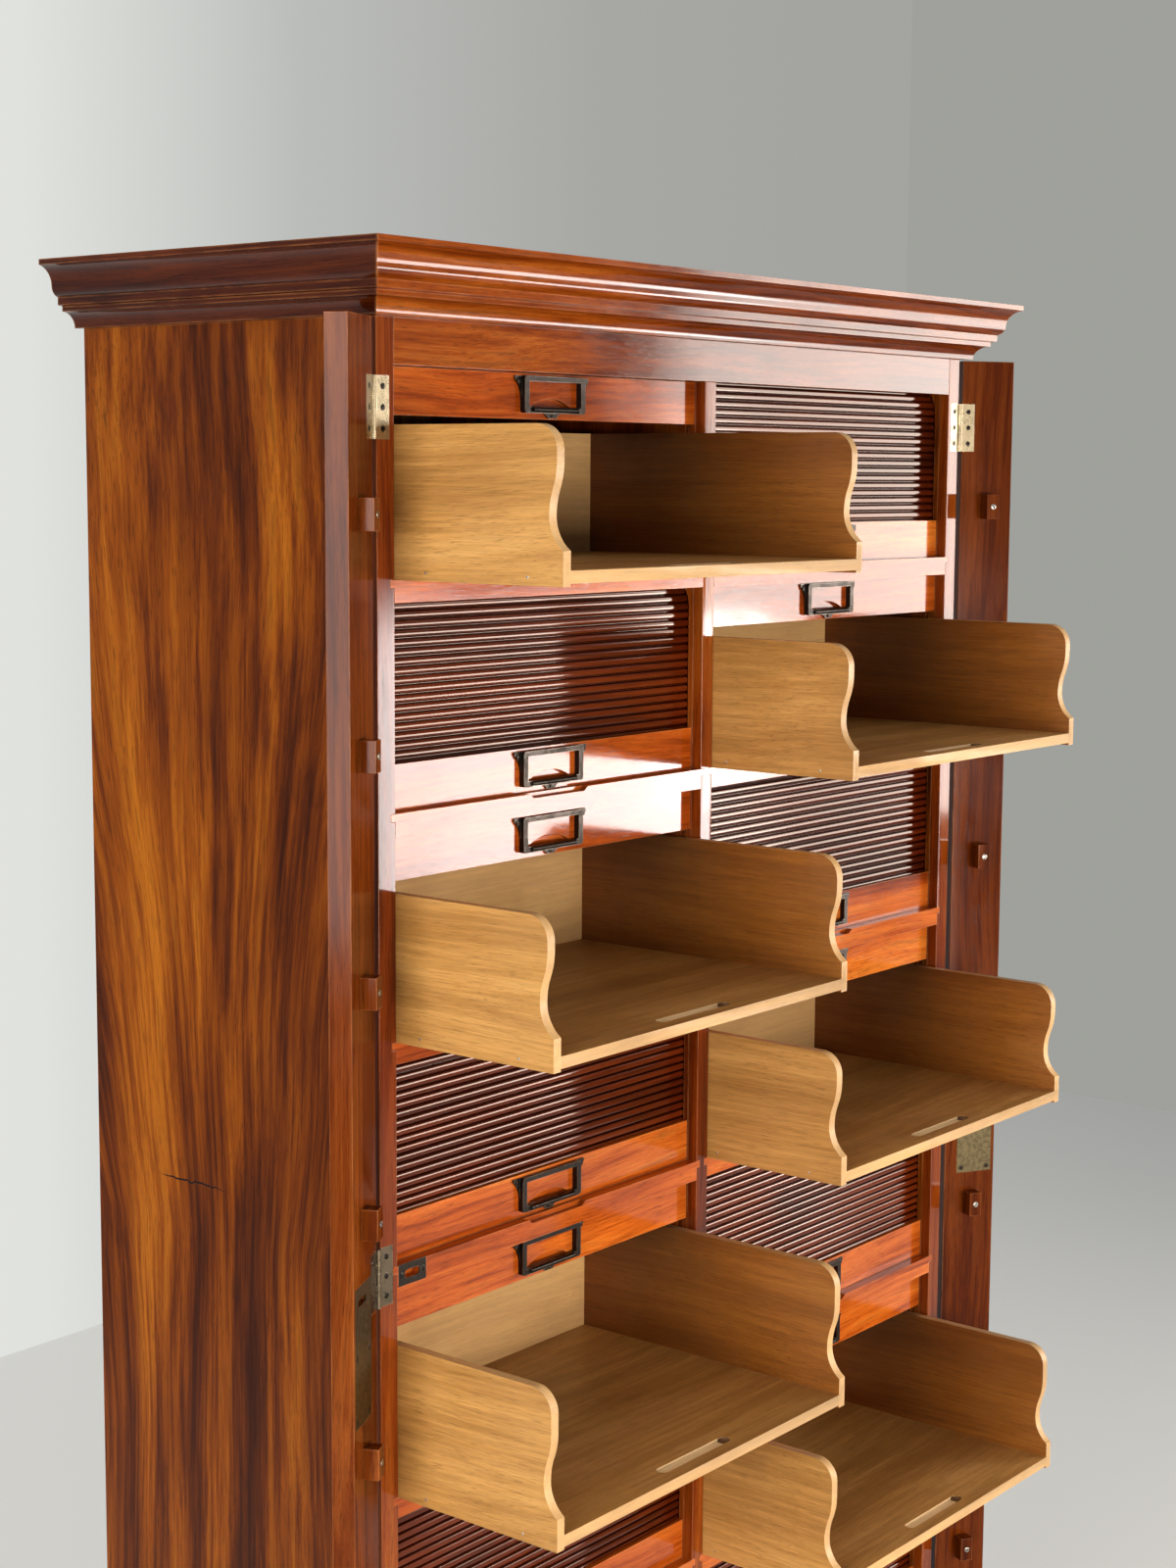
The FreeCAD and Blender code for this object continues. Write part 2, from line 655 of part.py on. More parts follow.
def tray(column, row, front):
    """The four boards of a tray whose front edge is at the given Y."""
    name = f"tray_{column}_{row}"
    low = f"({COLUMN_LOW[column]} + Size.tray_gap)"
    high = f"({COLUMN_LOW[column]} + {OPENING_WIDTH} - Size.tray_gap)"
    foot = row_floor(row)
    floor_low = f"({low} + Size.tray_board - Size.tray_housing)"
    floor_wide = f"({high} - {low} - 2 * (Size.tray_board - Size.tray_housing))"
    floor_foot = f"({foot} + Size.tray_floor_lift)"
    floor_top = f"({floor_foot} + Size.tray_floor)"
    floor_board = box(f"{name}_floor_board", (floor_low, front, floor_foot),
                      (floor_wide, "Size.tray_length", "Size.tray_floor"))
    groove_half = "((Size.finger_groove_length - Size.finger_groove_width) / 2)"
    groove_y = f"({front} + Size.finger_groove_setback)"
    groove_foot = f"({floor_top} - Size.finger_groove_depth)"
    groove = box(f"{name}_groove_bar", (f"{COLUMN_MIDDLE[column]} - {groove_half}",
                                        f"{groove_y} - Size.finger_groove_width / 2", groove_foot),
                 (f"2 * {groove_half}", "Size.finger_groove_width", "Size.finger_groove_depth"))
    ends = [cylinder(f"{name}_groove_end_{end}",
                     (f"{COLUMN_MIDDLE[column]} {end} {groove_half}", groove_y, groove_foot),
                     "Size.finger_groove_width / 2", "Size.finger_groove_depth") for end in ("+", "-")]
    floor = cut(f"{name}_floor", floor_board, fuse(f"{name}_groove", [groove] + ends))
    boards = [floor]
    for side, start in (("near", low), ("far", f"{high} - Size.tray_board")):
        board = place(extrude(f"{name}_{side}_board", tray_sides[is_upper(row)], X_AXIS, "Size.tray_board"),
                      start, front, foot)
        boards.append(cut(f"{name}_{side}", board, floor_board))
    back_y = f"{front} + Size.tray_length - Size.tray_board"
    boards.append(box(f"{name}_back", (f"{low} + Size.tray_board", back_y, floor_top),
                      (f"{high} - {low} - 2 * Size.tray_board", "Size.tray_board",
                       f"{tray_height(row)} - Size.tray_floor_lift - Size.tray_floor")))
    return boards


stored_boards = []
for column in COLUMNS:
    for row in ROWS:
        if is_open(column, row):
            drawn_front = f"({FRONT} - Size.out_{column}_row{row})"
            keep(group(f"tray_{column}_{row}", tray(column, row, drawn_front)))
        else:
            stored_boards += tray(column, row, f"({FRONT} + Size.tray_stow)")
keep(group("trays_stored", stored_boards))


# tambours
def lead_foot(column, row):
    """Formula for the underside of a lead rail: on its shelf, or up under the rail above."""
    if is_open(column, row):
        return f"({row_floor(row)} + {opening(row)} - Size.lead_top_gap - Size.lead_height)"
    return row_floor(row)


LEAD_FACE = f"({FRONT} + Size.lead_setback)"
TONGUE_LOW = {column: f"({low} - Size.track_depth + Size.lead_side_gap)"
              for column, low in COLUMN_LOW.items()}
TONGUE_WIDE = f"({OPENING_WIDTH} + 2 * (Size.track_depth - Size.lead_side_gap))"


def lead_rail(column, row):
    """The bottom rail of a tambour: a thin lip over the first slats, a thick foot and two tongues."""
    name = f"lead_{column}_{row}"
    foot = lead_foot(column, row)
    low = f"({COLUMN_LOW[column]} + Size.lead_side_gap)"
    wide = f"({OPENING_WIDTH} - 2 * Size.lead_side_gap)"
    back = f"({TRACK_FRONT} + Size.track_width - Size.track_play)"
    lip = box(f"{name}_lip", (low, LEAD_FACE, foot), (wide, "Size.lead_lip", "Size.lead_height"))
    block = box(f"{name}_block", (low, LEAD_FACE, foot),
                (wide, f"{back} - {LEAD_FACE}", "Size.lead_shoulder"))
    tongue_front = f"({TRACK_FRONT} + Size.track_play)"
    tongue = box(f"{name}_tongue", (TONGUE_LOW[column], tongue_front, foot),
                 (TONGUE_WIDE, f"{back} - {tongue_front}", "Size.lead_shoulder"))
    scoop_radius = "(((Size.scoop_width / 2) ^ 2 + Size.scoop_rise ^ 2) / (2 * Size.scoop_rise))"
    scoop_foot = f"({foot} + Size.scoop_level)"
    scoop_box = box(f"{name}_scoop_box",
                    (f"{COLUMN_MIDDLE[column]} - Size.scoop_width / 2", LEAD_FACE, scoop_foot),
                    ("Size.scoop_width", "Size.scoop_depth", "Size.scoop_rise"))
    scoop_centre = (COLUMN_MIDDLE[column], LEAD_FACE, f"{scoop_foot} + Size.scoop_rise - {scoop_radius}")
    scoop_round = cylinder(f"{name}_scoop_round", scoop_centre, scoop_radius, "Size.scoop_depth", ALONG_Y)
    body = fuse(f"{name}_body", [lip, block, tongue])
    return cut(name, body, common(f"{name}_scoop", scoop_box, scoop_round))


def curtain_shape(column, row):
    """The slats of a tambour and the canvas behind them, up the track and round its bend."""
    canvas_line = number("-(Size.slat_rise + Size.canvas_thickness) / 2 + Size.canvas_thickness")
    canvas = number("Size.canvas_thickness")
    radius = number("Size.bend_radius") + canvas_line
    middle_y = number(f"{TRACK_FRONT} + Size.track_width / 2")
    line_y = middle_y - canvas_line
    bend_y = middle_y + number("Size.bend_radius")
    bend_z = number(f"{track_head(row)} - Size.track_width / 2 - Size.bend_radius")
    start_z = number(f"{lead_foot(column, row)} + Size.lead_shoulder")
    straight = bend_z - start_z
    pitch = number("Size.slat_pitch")
    closed_length = bend_z - number(f"{row_floor(row)} + Size.lead_shoulder") + number("Size.curtain_tail")
    count = int(closed_length / pitch)
    arc_length = radius * math.pi / 2

    def along(distance, lift):
        """Point on the canvas line, lifted towards the slats."""
        if distance <= straight:
            return Vector(0, line_y - lift, start_z + distance)
        turn = (distance - straight) / radius
        if turn < math.pi / 2:
            reach = radius + lift
            return Vector(0, bend_y - reach * math.cos(turn), bend_z + reach * math.sin(turn))
        return Vector(0, bend_y + distance - straight - arc_length, bend_z + radius + lift)

    low = number(TONGUE_LOW[column])
    length = Vector(number(TONGUE_WIDE), 0, 0)
    steps = [index * pitch for index in range(count + 1)]
    face_line = [along(step, 0) for step in steps]
    back_line = [along(step, -canvas) for step in reversed(steps)]
    sheet_face = Part.Face(Part.makePolygon(face_line + back_line + face_line[:1]))
    pieces = [sheet_face.extrude(length)]
    half_slat = number("Size.slat_width") / 2
    rise = number("Size.slat_rise")
    for start, end in zip(face_line, face_line[1:]):
        forward = (end - start).normalize()
        outward = Vector(0, -forward.z, forward.y)
        middle = (start + end) * 0.5
        foot = middle - forward * half_slat
        head = middle + forward * half_slat
        bow = Part.Arc(foot, middle + outward * rise, head).toShape()
        slat_face = Part.Face(Part.Wire([bow, Part.LineSegment(head, foot).toShape()]))
        pieces.append(slat_face.extrude(length))
    shape = Part.makeCompound(pieces)
    shape.translate(Vector(low, 0, 0))
    return shape


def curtain(name, spots):
    """The curtains of one or more tambours as one object."""
    thing = document.addObject("Part::Feature", name)
    thing.Shape = Part.makeCompound([solid for spot in spots for solid in curtain_shape(*spot).Solids])
    return thing


frame_half = "(Size.pull_width / 2)"
ear_half = "(Size.pull_width / 2 + Size.ear_reach)"
ear_foot = "(Size.pull_height - Size.ear_drop)"
frame_turn = "(Size.pull_width / 2 - Size.frame_corner)"
apron_half = "(Size.apron_width / 2)"
ear_tip_foot = "(Size.pull_height - Size.ear_tip)"
pull_sketch = outline("pull_outline", [
    (f"-{frame_turn}", "0", None),
    (f"-{apron_half}", "0", "Size.apron_radius"),
    ("-Size.apron_flat / 2", "-Size.apron_drop", None),
    ("Size.apron_flat / 2", "-Size.apron_drop", "Size.apron_radius"),
    (apron_half, "0", None),
    (frame_turn, "0", "-Size.frame_corner"),
    (frame_half, "Size.frame_corner", None),
    (frame_half, ear_foot, "Size.ear_radius"),
    (ear_half, ear_tip_foot, None),
    (ear_half, "Size.pull_height", None),
    (f"-{ear_half}", "Size.pull_height", None),
    (f"-{ear_half}", ear_tip_foot, "Size.ear_radius"),
    (f"-{frame_half}", ear_foot, None),
    (f"-{frame_half}", "Size.frame_corner", "-Size.frame_corner"),
], FACING_FRONT)
frame_turn_high = "(Size.pull_height - Size.frame_corner)"
frame_sketch = outline("pull_frame_outline", [
    (f"-{frame_turn}", "0", None),
    (frame_turn, "0", "-Size.frame_corner"),
    (frame_half, "Size.frame_corner", None),
    (frame_half, frame_turn_high, "-Size.frame_corner"),
    (frame_turn, "Size.pull_height", None),
    (f"-{frame_turn}", "Size.pull_height", "-Size.frame_corner"),
    (f"-{frame_half}", frame_turn_high, None),
    (f"-{frame_half}", "Size.frame_corner", "-Size.frame_corner"),
], FACING_FRONT)


def pull(column, row):
    """The cast label holder on a lead rail: flange with ears, raised frame, rolled grip and screws."""
    name = f"pull_{column}_{row}"
    middle = COLUMN_MIDDLE[column]
    foot = f"({lead_foot(column, row)} + Size.pull_lift)"
    flange_y = f"({LEAD_FACE} - Size.flange_thickness)"
    flange = extrude(f"{name}_flange", pull_sketch, Y_AXIS, "Size.flange_thickness")
    place(flange, middle, flange_y, foot)
    frame = extrude(f"{name}_frame", frame_sketch, Y_AXIS, "Size.pull_depth")
    place(frame, middle, f"{LEAD_FACE} - Size.pull_depth", foot)
    grip = cylinder(f"{name}_grip", (f"{middle} - Size.grip_width / 2", f"{LEAD_FACE} - Size.pull_depth",
                                     f"{foot} + Size.frame_sill - Size.grip_radius"),
                    "Size.grip_radius", "Size.grip_width", ALONG_X)
    window = box(f"{name}_window",
                 (f"{middle} - {frame_half} + Size.frame_border", f"{LEAD_FACE} - 2 * Size.pull_depth",
                  f"{foot} + Size.frame_sill"),
                 ("Size.pull_width - 2 * Size.frame_border", "3 * Size.pull_depth",
                  "Size.pull_height - Size.frame_sill - Size.frame_head"))
    casting = cut(f"{name}_casting", fuse(f"{name}_joined", [flange, frame, grip]), window)
    ear_x = f"({frame_half} + Size.ear_reach / 2)"
    ear_z = f"({foot} + Size.pull_height - Size.ear_screw_drop)"
    screw_y = f"({flange_y} - Size.screw_head)"
    heads = [cylinder(f"{name}_screw_{end}", (f"{middle} {end} {ear_x}", screw_y, ear_z),
                      "Size.screw_radius", "Size.screw_head", ALONG_Y) for end in ("-", "+")]
    heads.append(cylinder(f"{name}_screw_low", (middle, screw_y, f"{foot} - Size.apron_drop / 2"),
                          "Size.apron_screw_radius", "Size.screw_head", ALONG_Y))
    return [casting] + heads


raised_spots = [(column, row) for column in COLUMNS for row in ROWS if is_open(column, row)]
closed_spots = [(column, row) for column in COLUMNS for row in ROWS if not is_open(column, row)]
for column, row in closed_spots:
    lead = lead_rail(column, row)
    lead.Label = f"lead_rail_{column}_{row}"
    keep(lead)
    keep(curtain(f"curtain_{column}_{row}", [(column, row)]))
    keep(group(f"pull_{column}_{row}", pull(column, row)))
keep(group("lead_rails_raised", [lead_rail(*spot) for spot in raised_spots]))
keep(curtain("curtains_raised", raised_spots))
keep(group("pulls_raised", [solid for spot in raised_spots for solid in pull(*spot)]))


# hinges: five knuckles each, three on the stile's plate and two on the leaf's
KNUCKLES = 5
knuckle_height = f"(Size.hinge_height / {KNUCKLES})"
AXIS_X = {"left": f"(-{HALF} - Size.hinge_offset)", "right": f"({HALF} + Size.hinge_offset)"}
AXIS_Y = f"({FRONT} - Size.face_gap / 2)"


def plate_screws(name, spots, face_y, into):
    """Recesses and heads of flush screws; into is +1 where they are driven towards +Y."""
    tools = []
    heads = []
    for index, (across, up) in enumerate(spots):
        start_y = face_y if into > 0 else f"{face_y} - Size.plate_screw_height"
        tools.append(cylinder(f"{name}_seat_{index}", (across, start_y, up),
                              "Size.plate_screw_radius + Size.plate_screw_play",
                              "Size.plate_screw_height", ALONG_Y))
        heads.append(cylinder(f"{name}_head_{index}", (across, start_y, up),
                              "Size.plate_screw_radius", "Size.plate_screw_height", ALONG_Y))
    return group(f"{name}_seats", tools), heads


def hinge_half(name, column, centre, axis_x, plate_y, strap_y, knuckles, bore, face_y, into):
    """One plate of a butt hinge with its straps, knuckles and screws."""
    foot = f"({centre} - Size.hinge_height / 2)"
    start = mirrored_low(column, "Size.hinge_offset", "Size.hinge_plate_width")
    solids = [box(f"{name}_plate", (f"{axis_x} + {start}", plate_y, foot),
                  ("Size.hinge_plate_width", "Size.plate_thickness", "Size.hinge_height"))]
    strap_start = mirrored_low(column, "0", "Size.hinge_offset")
    for index in knuckles:
        level = f"({foot} + {index} * {knuckle_height} + Size.knuckle_gap / 2)"
        tall = f"({knuckle_height} - Size.knuckle_gap)"
        solids.append(cylinder(f"{name}_knuckle_{index}", (axis_x, strap_y, level),
                               "Size.knuckle_radius", tall))
        solids.append(box(f"{name}_strap_{index}", (f"{axis_x} + {strap_start}", plate_y, level),
                          ("Size.hinge_offset", "Size.plate_thickness", tall)))
    bore_hole = cylinder(f"{name}_bore", (axis_x, strap_y, foot), bore, "Size.hinge_height")
    middle = f"({axis_x} + {start} + Size.hinge_plate_width / 2)"
    spots = [(middle, f"{centre} + ({step}) * Size.hinge_screw_pitch") for step in (-1, 0, 1)]
    seats, heads = plate_screws(name, spots, face_y, into)
    bored = cut(f"{name}_bored", fuse(f"{name}_joined", solids), bore_hole)
    return [cut(f"{name}_seated", bored, seats)] + heads


stile_hinges = []
for column in COLUMNS:
    for place_name, centre in HINGE_CENTRES.items():
        name = f"stile_hinge_{column}_{place_name}"
        stile_hinges += hinge_half(name, column, centre, AXIS_X[column], FRONT, AXIS_Y, (0, 2, 4),
                                   "Size.pin_radius", FRONT, 1)
        pin_foot = f"{centre} - Size.hinge_height / 2"
        stile_hinges.append(cylinder(f"{name}_pin", (AXIS_X[column], AXIS_Y, pin_foot),
                                     "Size.pin_radius", "Size.hinge_height"))
keep(group("stile_hinges", stile_hinges))

# strike plates let into the ends of the middle rails
strike_solids = []
for column in COLUMNS:
    plate = strike_bed(column)
    slot = strike_slot(column, f"strike_slot_{column}", "Size.plate_thickness")
    middle_z = f"({strike_foot} + Size.rail_height / 2)"
    spots = [(f"{strike_low[column]} + Size.strike_screw_inset", middle_z),
             (f"{strike_low[column]} + Size.strike_width - Size.strike_screw_inset", middle_z)]
    seats, heads = plate_screws(f"strike_{column}", spots, FRONT, 1)
    strike_solids += [cut(f"strike_{column}", cut(f"strike_{column}_slotted", plate, slot), seats)] + heads
keep(group("strike_plates", strike_solids))

# locking leaves, laid out closed about their hinge axis and then swung open
LEAF_FACE = "(-Size.face_gap / 2)"
OPEN_TURN = {"left": "-Size.left_open_angle", "right": "Size.right_open_angle"}


def swing(thing, column):
    """Carry a piece of a leaf to its hinge and turn it to the angle at which the leaf stands open."""
    thing.Placement = FreeCAD.Placement(Vector(), Rotation(Z_AXIS, 90))
    thing.setExpression("Placement.Rotation.Angle", OPEN_TURN[column])
    return place(thing, AXIS_X[column], AXIS_Y, "0")


for column in COLUMNS:
    leaf_start = mirrored_low(column, "Size.hinge_offset", "Size.leaf_width")
    leaf_foot = "(Size.base_height + Size.leaf_gap)"
    board = box(f"leaf_{column}_board", (leaf_start, f"{LEAF_FACE} - Size.leaf_thickness", leaf_foot),
                ("Size.leaf_width", "Size.leaf_thickness", f"{CASE_TOP} - Size.leaf_gap - {leaf_foot}"))
    beds = [box(f"leaf_bed_{column}_{place_name}",
                (mirrored_low(column, "Size.hinge_offset", "Size.hinge_plate_width"),
                 f"{LEAF_FACE} - Size.plate_thickness", f"{centre} - Size.hinge_height / 2"),
                ("Size.hinge_plate_width", "Size.plate_thickness", "Size.hinge_height"))
            for place_name, centre in HINGE_CENTRES.items()]
    lock_left = "(Size.hinge_offset + Size.leaf_width - Size.lock_edge - Size.lock_width)"
    lock_start = mirrored_low(column, lock_left, "Size.lock_width")
    lock_foot = f"({row_floor(4)} + Size.lock_rise - Size.lock_height)"
    plate = box(f"lock_{column}_plate", (lock_start, f"{LEAF_FACE} - Size.plate_thickness", lock_foot),
                ("Size.lock_width", "Size.plate_thickness", "Size.lock_height"))
    slot_left = "(Size.side_thickness + Size.strike_inset + Size.strike_width / 2 + Size.hinge_offset"
    slot_start = mirrored_low(column, f"{slot_left} - Size.bolt_slot_length / 2)", "Size.bolt_slot_length")
    slot = box(f"lock_{column}_slot",
               (slot_start, f"{LEAF_FACE} - Size.bolt_slot_depth",
                f"{strike_foot} + Size.rail_height / 2 - Size.bolt_slot_width / 2"),
               ("Size.bolt_slot_length", "Size.bolt_slot_depth", "Size.bolt_slot_width"))
    lock_middle = f"({lock_start} + Size.lock_width / 2)"
    lock_levels = (f"{lock_foot} + Size.lock_screw_inset", f"{lock_foot} + Size.lock_height / 2")
    lock_spots = [(f"{lock_middle} {side} (Size.lock_width / 2 - Size.lock_screw_inset)", level)
                  for side in ("-", "+") for level in lock_levels]
    seats, heads = plate_screws(f"lock_{column}", lock_spots, LEAF_FACE, -1)
    bedded = cut(f"leaf_{column}_bedded", board, group(f"leaf_beds_{column}", beds))
    locked = cut(f"leaf_{column}_locked", bedded, fuse(f"lock_tools_{column}", [plate, slot]))
    keep(swing(locked, column)).Label = f"leaf_{column}"
    lock_face = cut(f"lock_{column}_face", cut(f"lock_{column}_slotted", plate, slot), seats)
    keep(swing(group(f"lock_{column}", [lock_face] + heads), column))
    blocks = []
    fixings = []
    for row in ROWS:
        block_low = "(Size.hinge_offset + Size.block_centre - Size.block_width / 2)"
        block_start = mirrored_low(column, block_low, "Size.block_width")
        block_foot = f"({row_floor(row)} + Size.lead_height + Size.block_lift)"
        blocks.append(box(f"block_{column}_{row}", (block_start, LEAF_FACE, block_foot),
                          ("Size.block_width", "Size.block_depth", "Size.block_height")))
        fixings.append(cylinder(f"block_screw_{column}_{row}",
                                (f"{block_start} + Size.block_width / 2", f"{LEAF_FACE} + Size.block_depth",
                                 f"{block_foot} + Size.block_height / 2"),
                                "Size.block_screw_radius", "Size.screw_head", ALONG_Y))
    keep(swing(group(f"stop_blocks_{column}", blocks), column))
    for place_name, centre in HINGE_CENTRES.items():
        fixings += hinge_half(f"leaf_hinge_{column}_{place_name}", column, centre, "0",
                              f"{LEAF_FACE} - Size.plate_thickness", "0", (1, 3),
                              "Size.pin_radius + Size.pin_play", LEAF_FACE, -1)
    keep(swing(group(f"leaf_hardware_{column}", fixings), column))

document.recompute()

# checks, then one file for each node
for thing in document.Objects:
    faults = [state for state in thing.State if state in ("Invalid", "Error")]
    if faults:
        raise RuntimeError(f"{thing.Label} failed to compute: {faults}")
os.makedirs("parts", exist_ok=True)
for thing in parts:
    if thing.Shape.isNull() or not thing.Shape.isValid() or not thing.Shape.Solids:
        raise RuntimeError(f"{thing.Label} has no valid solid")
for thing in parts:
    thing.Shape.exportStep(os.path.join("parts", thing.Label + ".step"))
    limits = thing.Shape.BoundBox
    print(f"{thing.Label}: {len(thing.Shape.Solids)} solids, {thing.Shape.Volume / 1000:.1f} cm3,"
          f" x {limits.XMin:.2f} {limits.XMax:.2f}, y {limits.YMin:.2f} {limits.YMax:.2f},"
          f" z {limits.ZMin:.2f} {limits.ZMax:.2f}")
print(len(parts), "nodes")
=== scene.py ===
"""Tambour filing cabinet in polished mahogany with oak trays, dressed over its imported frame.

Metres. +X to the right, +Y to the back, +Z up, origin on the floor under the middle of the case.
"""
import bpy
import math
from mathutils import Matrix, Vector


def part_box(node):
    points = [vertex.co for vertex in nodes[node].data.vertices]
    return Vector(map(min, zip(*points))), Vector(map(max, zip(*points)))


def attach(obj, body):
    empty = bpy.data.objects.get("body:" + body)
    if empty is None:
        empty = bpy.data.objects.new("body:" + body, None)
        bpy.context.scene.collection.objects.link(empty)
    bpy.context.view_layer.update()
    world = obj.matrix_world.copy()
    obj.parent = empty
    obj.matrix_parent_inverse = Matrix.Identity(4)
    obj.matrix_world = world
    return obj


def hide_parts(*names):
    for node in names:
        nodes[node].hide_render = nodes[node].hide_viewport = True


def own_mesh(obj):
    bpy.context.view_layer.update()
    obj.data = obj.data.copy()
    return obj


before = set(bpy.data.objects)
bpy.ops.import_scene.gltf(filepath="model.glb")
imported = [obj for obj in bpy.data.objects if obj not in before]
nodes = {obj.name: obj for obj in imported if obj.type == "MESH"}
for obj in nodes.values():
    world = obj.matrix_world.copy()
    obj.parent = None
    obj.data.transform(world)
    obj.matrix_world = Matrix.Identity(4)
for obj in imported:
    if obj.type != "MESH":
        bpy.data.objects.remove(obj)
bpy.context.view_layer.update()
MM = 0.001

# sizes of the CAD model that fixings and wood directions are placed by
FRONT = -186 * MM
HALF = 473 * MM
COLUMN_MIDDLE = {"left": -230.375 * MM, "right": 230.375 * MM}
TRAY_OUTER = 451 * MM
TRAY_INNER = 9.75 * MM
TRAY_BOARD = 9.5 * MM
# rows are counted from the top; their floors' levels are in mm
LOWER_ROWS = (8, 7, 6, 5)
ROW_FLOORS = {8: 109.5, 7: 321.5, 6: 533.5, 5: 745.5, 4: 957.5, 3: 1158.0, 2: 1358.5, 1: 1559.0}


def is_drawn(column, row):
    """Whether the photograph shows a compartment's tray drawn out, under a raised tambour."""
    return (row % 2 == 1) == (column == "left")


# node trees
class Tree:
    """The node tree of a material or a world, with short calls for the nodes used here."""

    def __init__(self, owner):
        """An empty tree for its owner, a material or a world."""
        self.owner = owner
        owner.use_nodes = True
        self.tree = owner.node_tree
        self.tree.nodes.clear()

    def add(self, kind, **settings):
        node = self.tree.nodes.new("ShaderNode" + kind)
        for key, value in settings.items():
            setattr(node, key, value)
        return node

    def put(self, socket, value):
        """Link an output, or set a plain value."""
        if isinstance(value, bpy.types.NodeSocket):
            self.tree.links.new(value, socket)
        elif value is not None:
            socket.default_value = value

    def math(self, operation, first, second=None):
        node = self.add("Math", operation=operation)
        self.put(node.inputs[0], first)
        self.put(node.inputs[1], second)
        return node.outputs[0]

    def coordinates(self):
        return self.add("TexCoord").outputs["Object"]

    def vector(self, operation, first, second):
        node = self.add("VectorMath", operation=operation)
        self.put(node.inputs[0], first)
        self.put(node.inputs[1], second)
        return node.outputs[0]

    def split(self, vector):
        node = self.add("SeparateXYZ")
        self.put(node.inputs[0], vector)
        return node.outputs

    def join(self, *values):
        """A vector from its three numbers."""
        node = self.add("CombineXYZ")
        for socket, value in zip(node.inputs, values):
            self.put(socket, value)
        return node.outputs[0]

    def geometry(self, kind="Normal"):
        return self.add("NewGeometry").outputs[kind]

    def scaled(self, vector, factors):
        """A vector scaled by three factors, or by one."""
        node = self.add("Mapping")
        self.put(node.inputs["Vector"], vector)
        node.inputs["Scale"].default_value = factors if isinstance(factors, tuple) else (factors,) * 3
        return node.outputs[0]

    def noise(self, vector, detail=3.0, roughness=0.55, distortion=0.0):
        node = self.add("TexNoise")
        self.put(node.inputs["Vector"], vector)
        node.inputs["Scale"].default_value = 1.0
        node.inputs["Detail"].default_value = detail
        node.inputs["Roughness"].default_value = roughness
        node.inputs["Distortion"].default_value = distortion
        return node.outputs["Fac"]

    def span(self, value, low, high, to_low=0.0, to_high=1.0):
        """A value's range carried to another range, and held inside it."""
        node = self.add("MapRange", clamp=True, interpolation_type="SMOOTHSTEP")
        self.put(node.inputs["Value"], value)
        node.inputs["From Min"].default_value = low
        node.inputs["From Max"].default_value = high
        node.inputs["To Min"].default_value = to_low
        node.inputs["To Max"].default_value = to_high
        return node.outputs["Result"]

    def within(self, value, low, high):
        """1 where a value lies between two bounds, and 0 elsewhere."""
        off_middle = self.math("ABSOLUTE", self.math("SUBTRACT", value, (low + high) / 2))
        return self.math("LESS_THAN", off_middle, (high - low) / 2)

    def mix(self, factor, first, second, blend="MIX"):
        node = self.add("Mix", data_type="RGBA", blend_type=blend)
        self.put(node.inputs["Factor"], factor)
        for socket, value in ((node.inputs[6], first), (node.inputs[7], second)):
            if isinstance(value, tuple) and len(value) == 3:
                value = (*value, 1.0)
            self.put(socket, value)
        return node.outputs[2]

    def ramp(self, factor, stops):
        """A colour ramp from (place, colour) stops."""
        node = self.add("ValToRGB")
        self.put(node.inputs[0], factor)
        elements = node.color_ramp.elements
        while len(elements) < len(stops):
            elements.new(0.5)
        for element, (spot, colour) in zip(elements, stops):
            element.position = spot
            element.color = (*colour, 1.0)
        return node.outputs[0]

    def bump(self, height, distance, strength, normal=None):
        node = self.add("Bump")
        node.inputs["Strength"].default_value = strength
        node.inputs["Distance"].default_value = distance
        self.put(node.inputs["Height"], height)
        self.put(node.inputs["Normal"], normal)
        return node.outputs[0]

    def finish(self, colour, roughness, normal=None, **settings):
        """The surface itself; settings are plain values on the shader's own sockets."""
        surface = self.add("BsdfPrincipled")
        self.put(surface.inputs["Base Color"], (*colour, 1.0) if isinstance(colour, tuple) else colour)
        self.put(surface.inputs["Roughness"], roughness)
        self.put(surface.inputs["Normal"], normal)
        for key, value in settings.items():
            self.put(surface.inputs[key.replace("_", " ").title().replace("Ior", "IOR")], value)
        output = self.add("OutputMaterial")
        self.tree.links.new(surface.outputs[0], output.inputs[0])
        return self.owner


def new_tree(name):
    return Tree(bpy.data.materials.new(name))


def along(grain, across_scale, along_scale):
    """Scale factors that stretch a pattern along one axis."""
    return tuple(along_scale if axis == grain else across_scale for axis in "XYZ")


def grained(tree, vector, grain, across_scale, along_scale, **settings):
    """Noise stretched along the grain."""
    return tree.noise(tree.scaled(vector, along(grain, across_scale, along_scale)), **settings)


# wood patterns, in waves per metre across and along the grain
WANDER = (3.5, 1.3)
STREAKS = (170.0, 4.5)
FIBRES = (850.0, 16.0)
PORES = (1300.0, 45.0)
# how far the figure wanders sideways, and how much longer each pattern is along the grain
WANDER_REACH = 85 * MM
FIGURE_STRETCH = 0.11
BAND_FINENESS = 3.2
BAND_STRETCH = 0.16
FIBRE_DEPTH = 0.12
PORE_SHADE = 0.3
EVEN_WEIGHTS = (0.40, 0.30, 0.30)


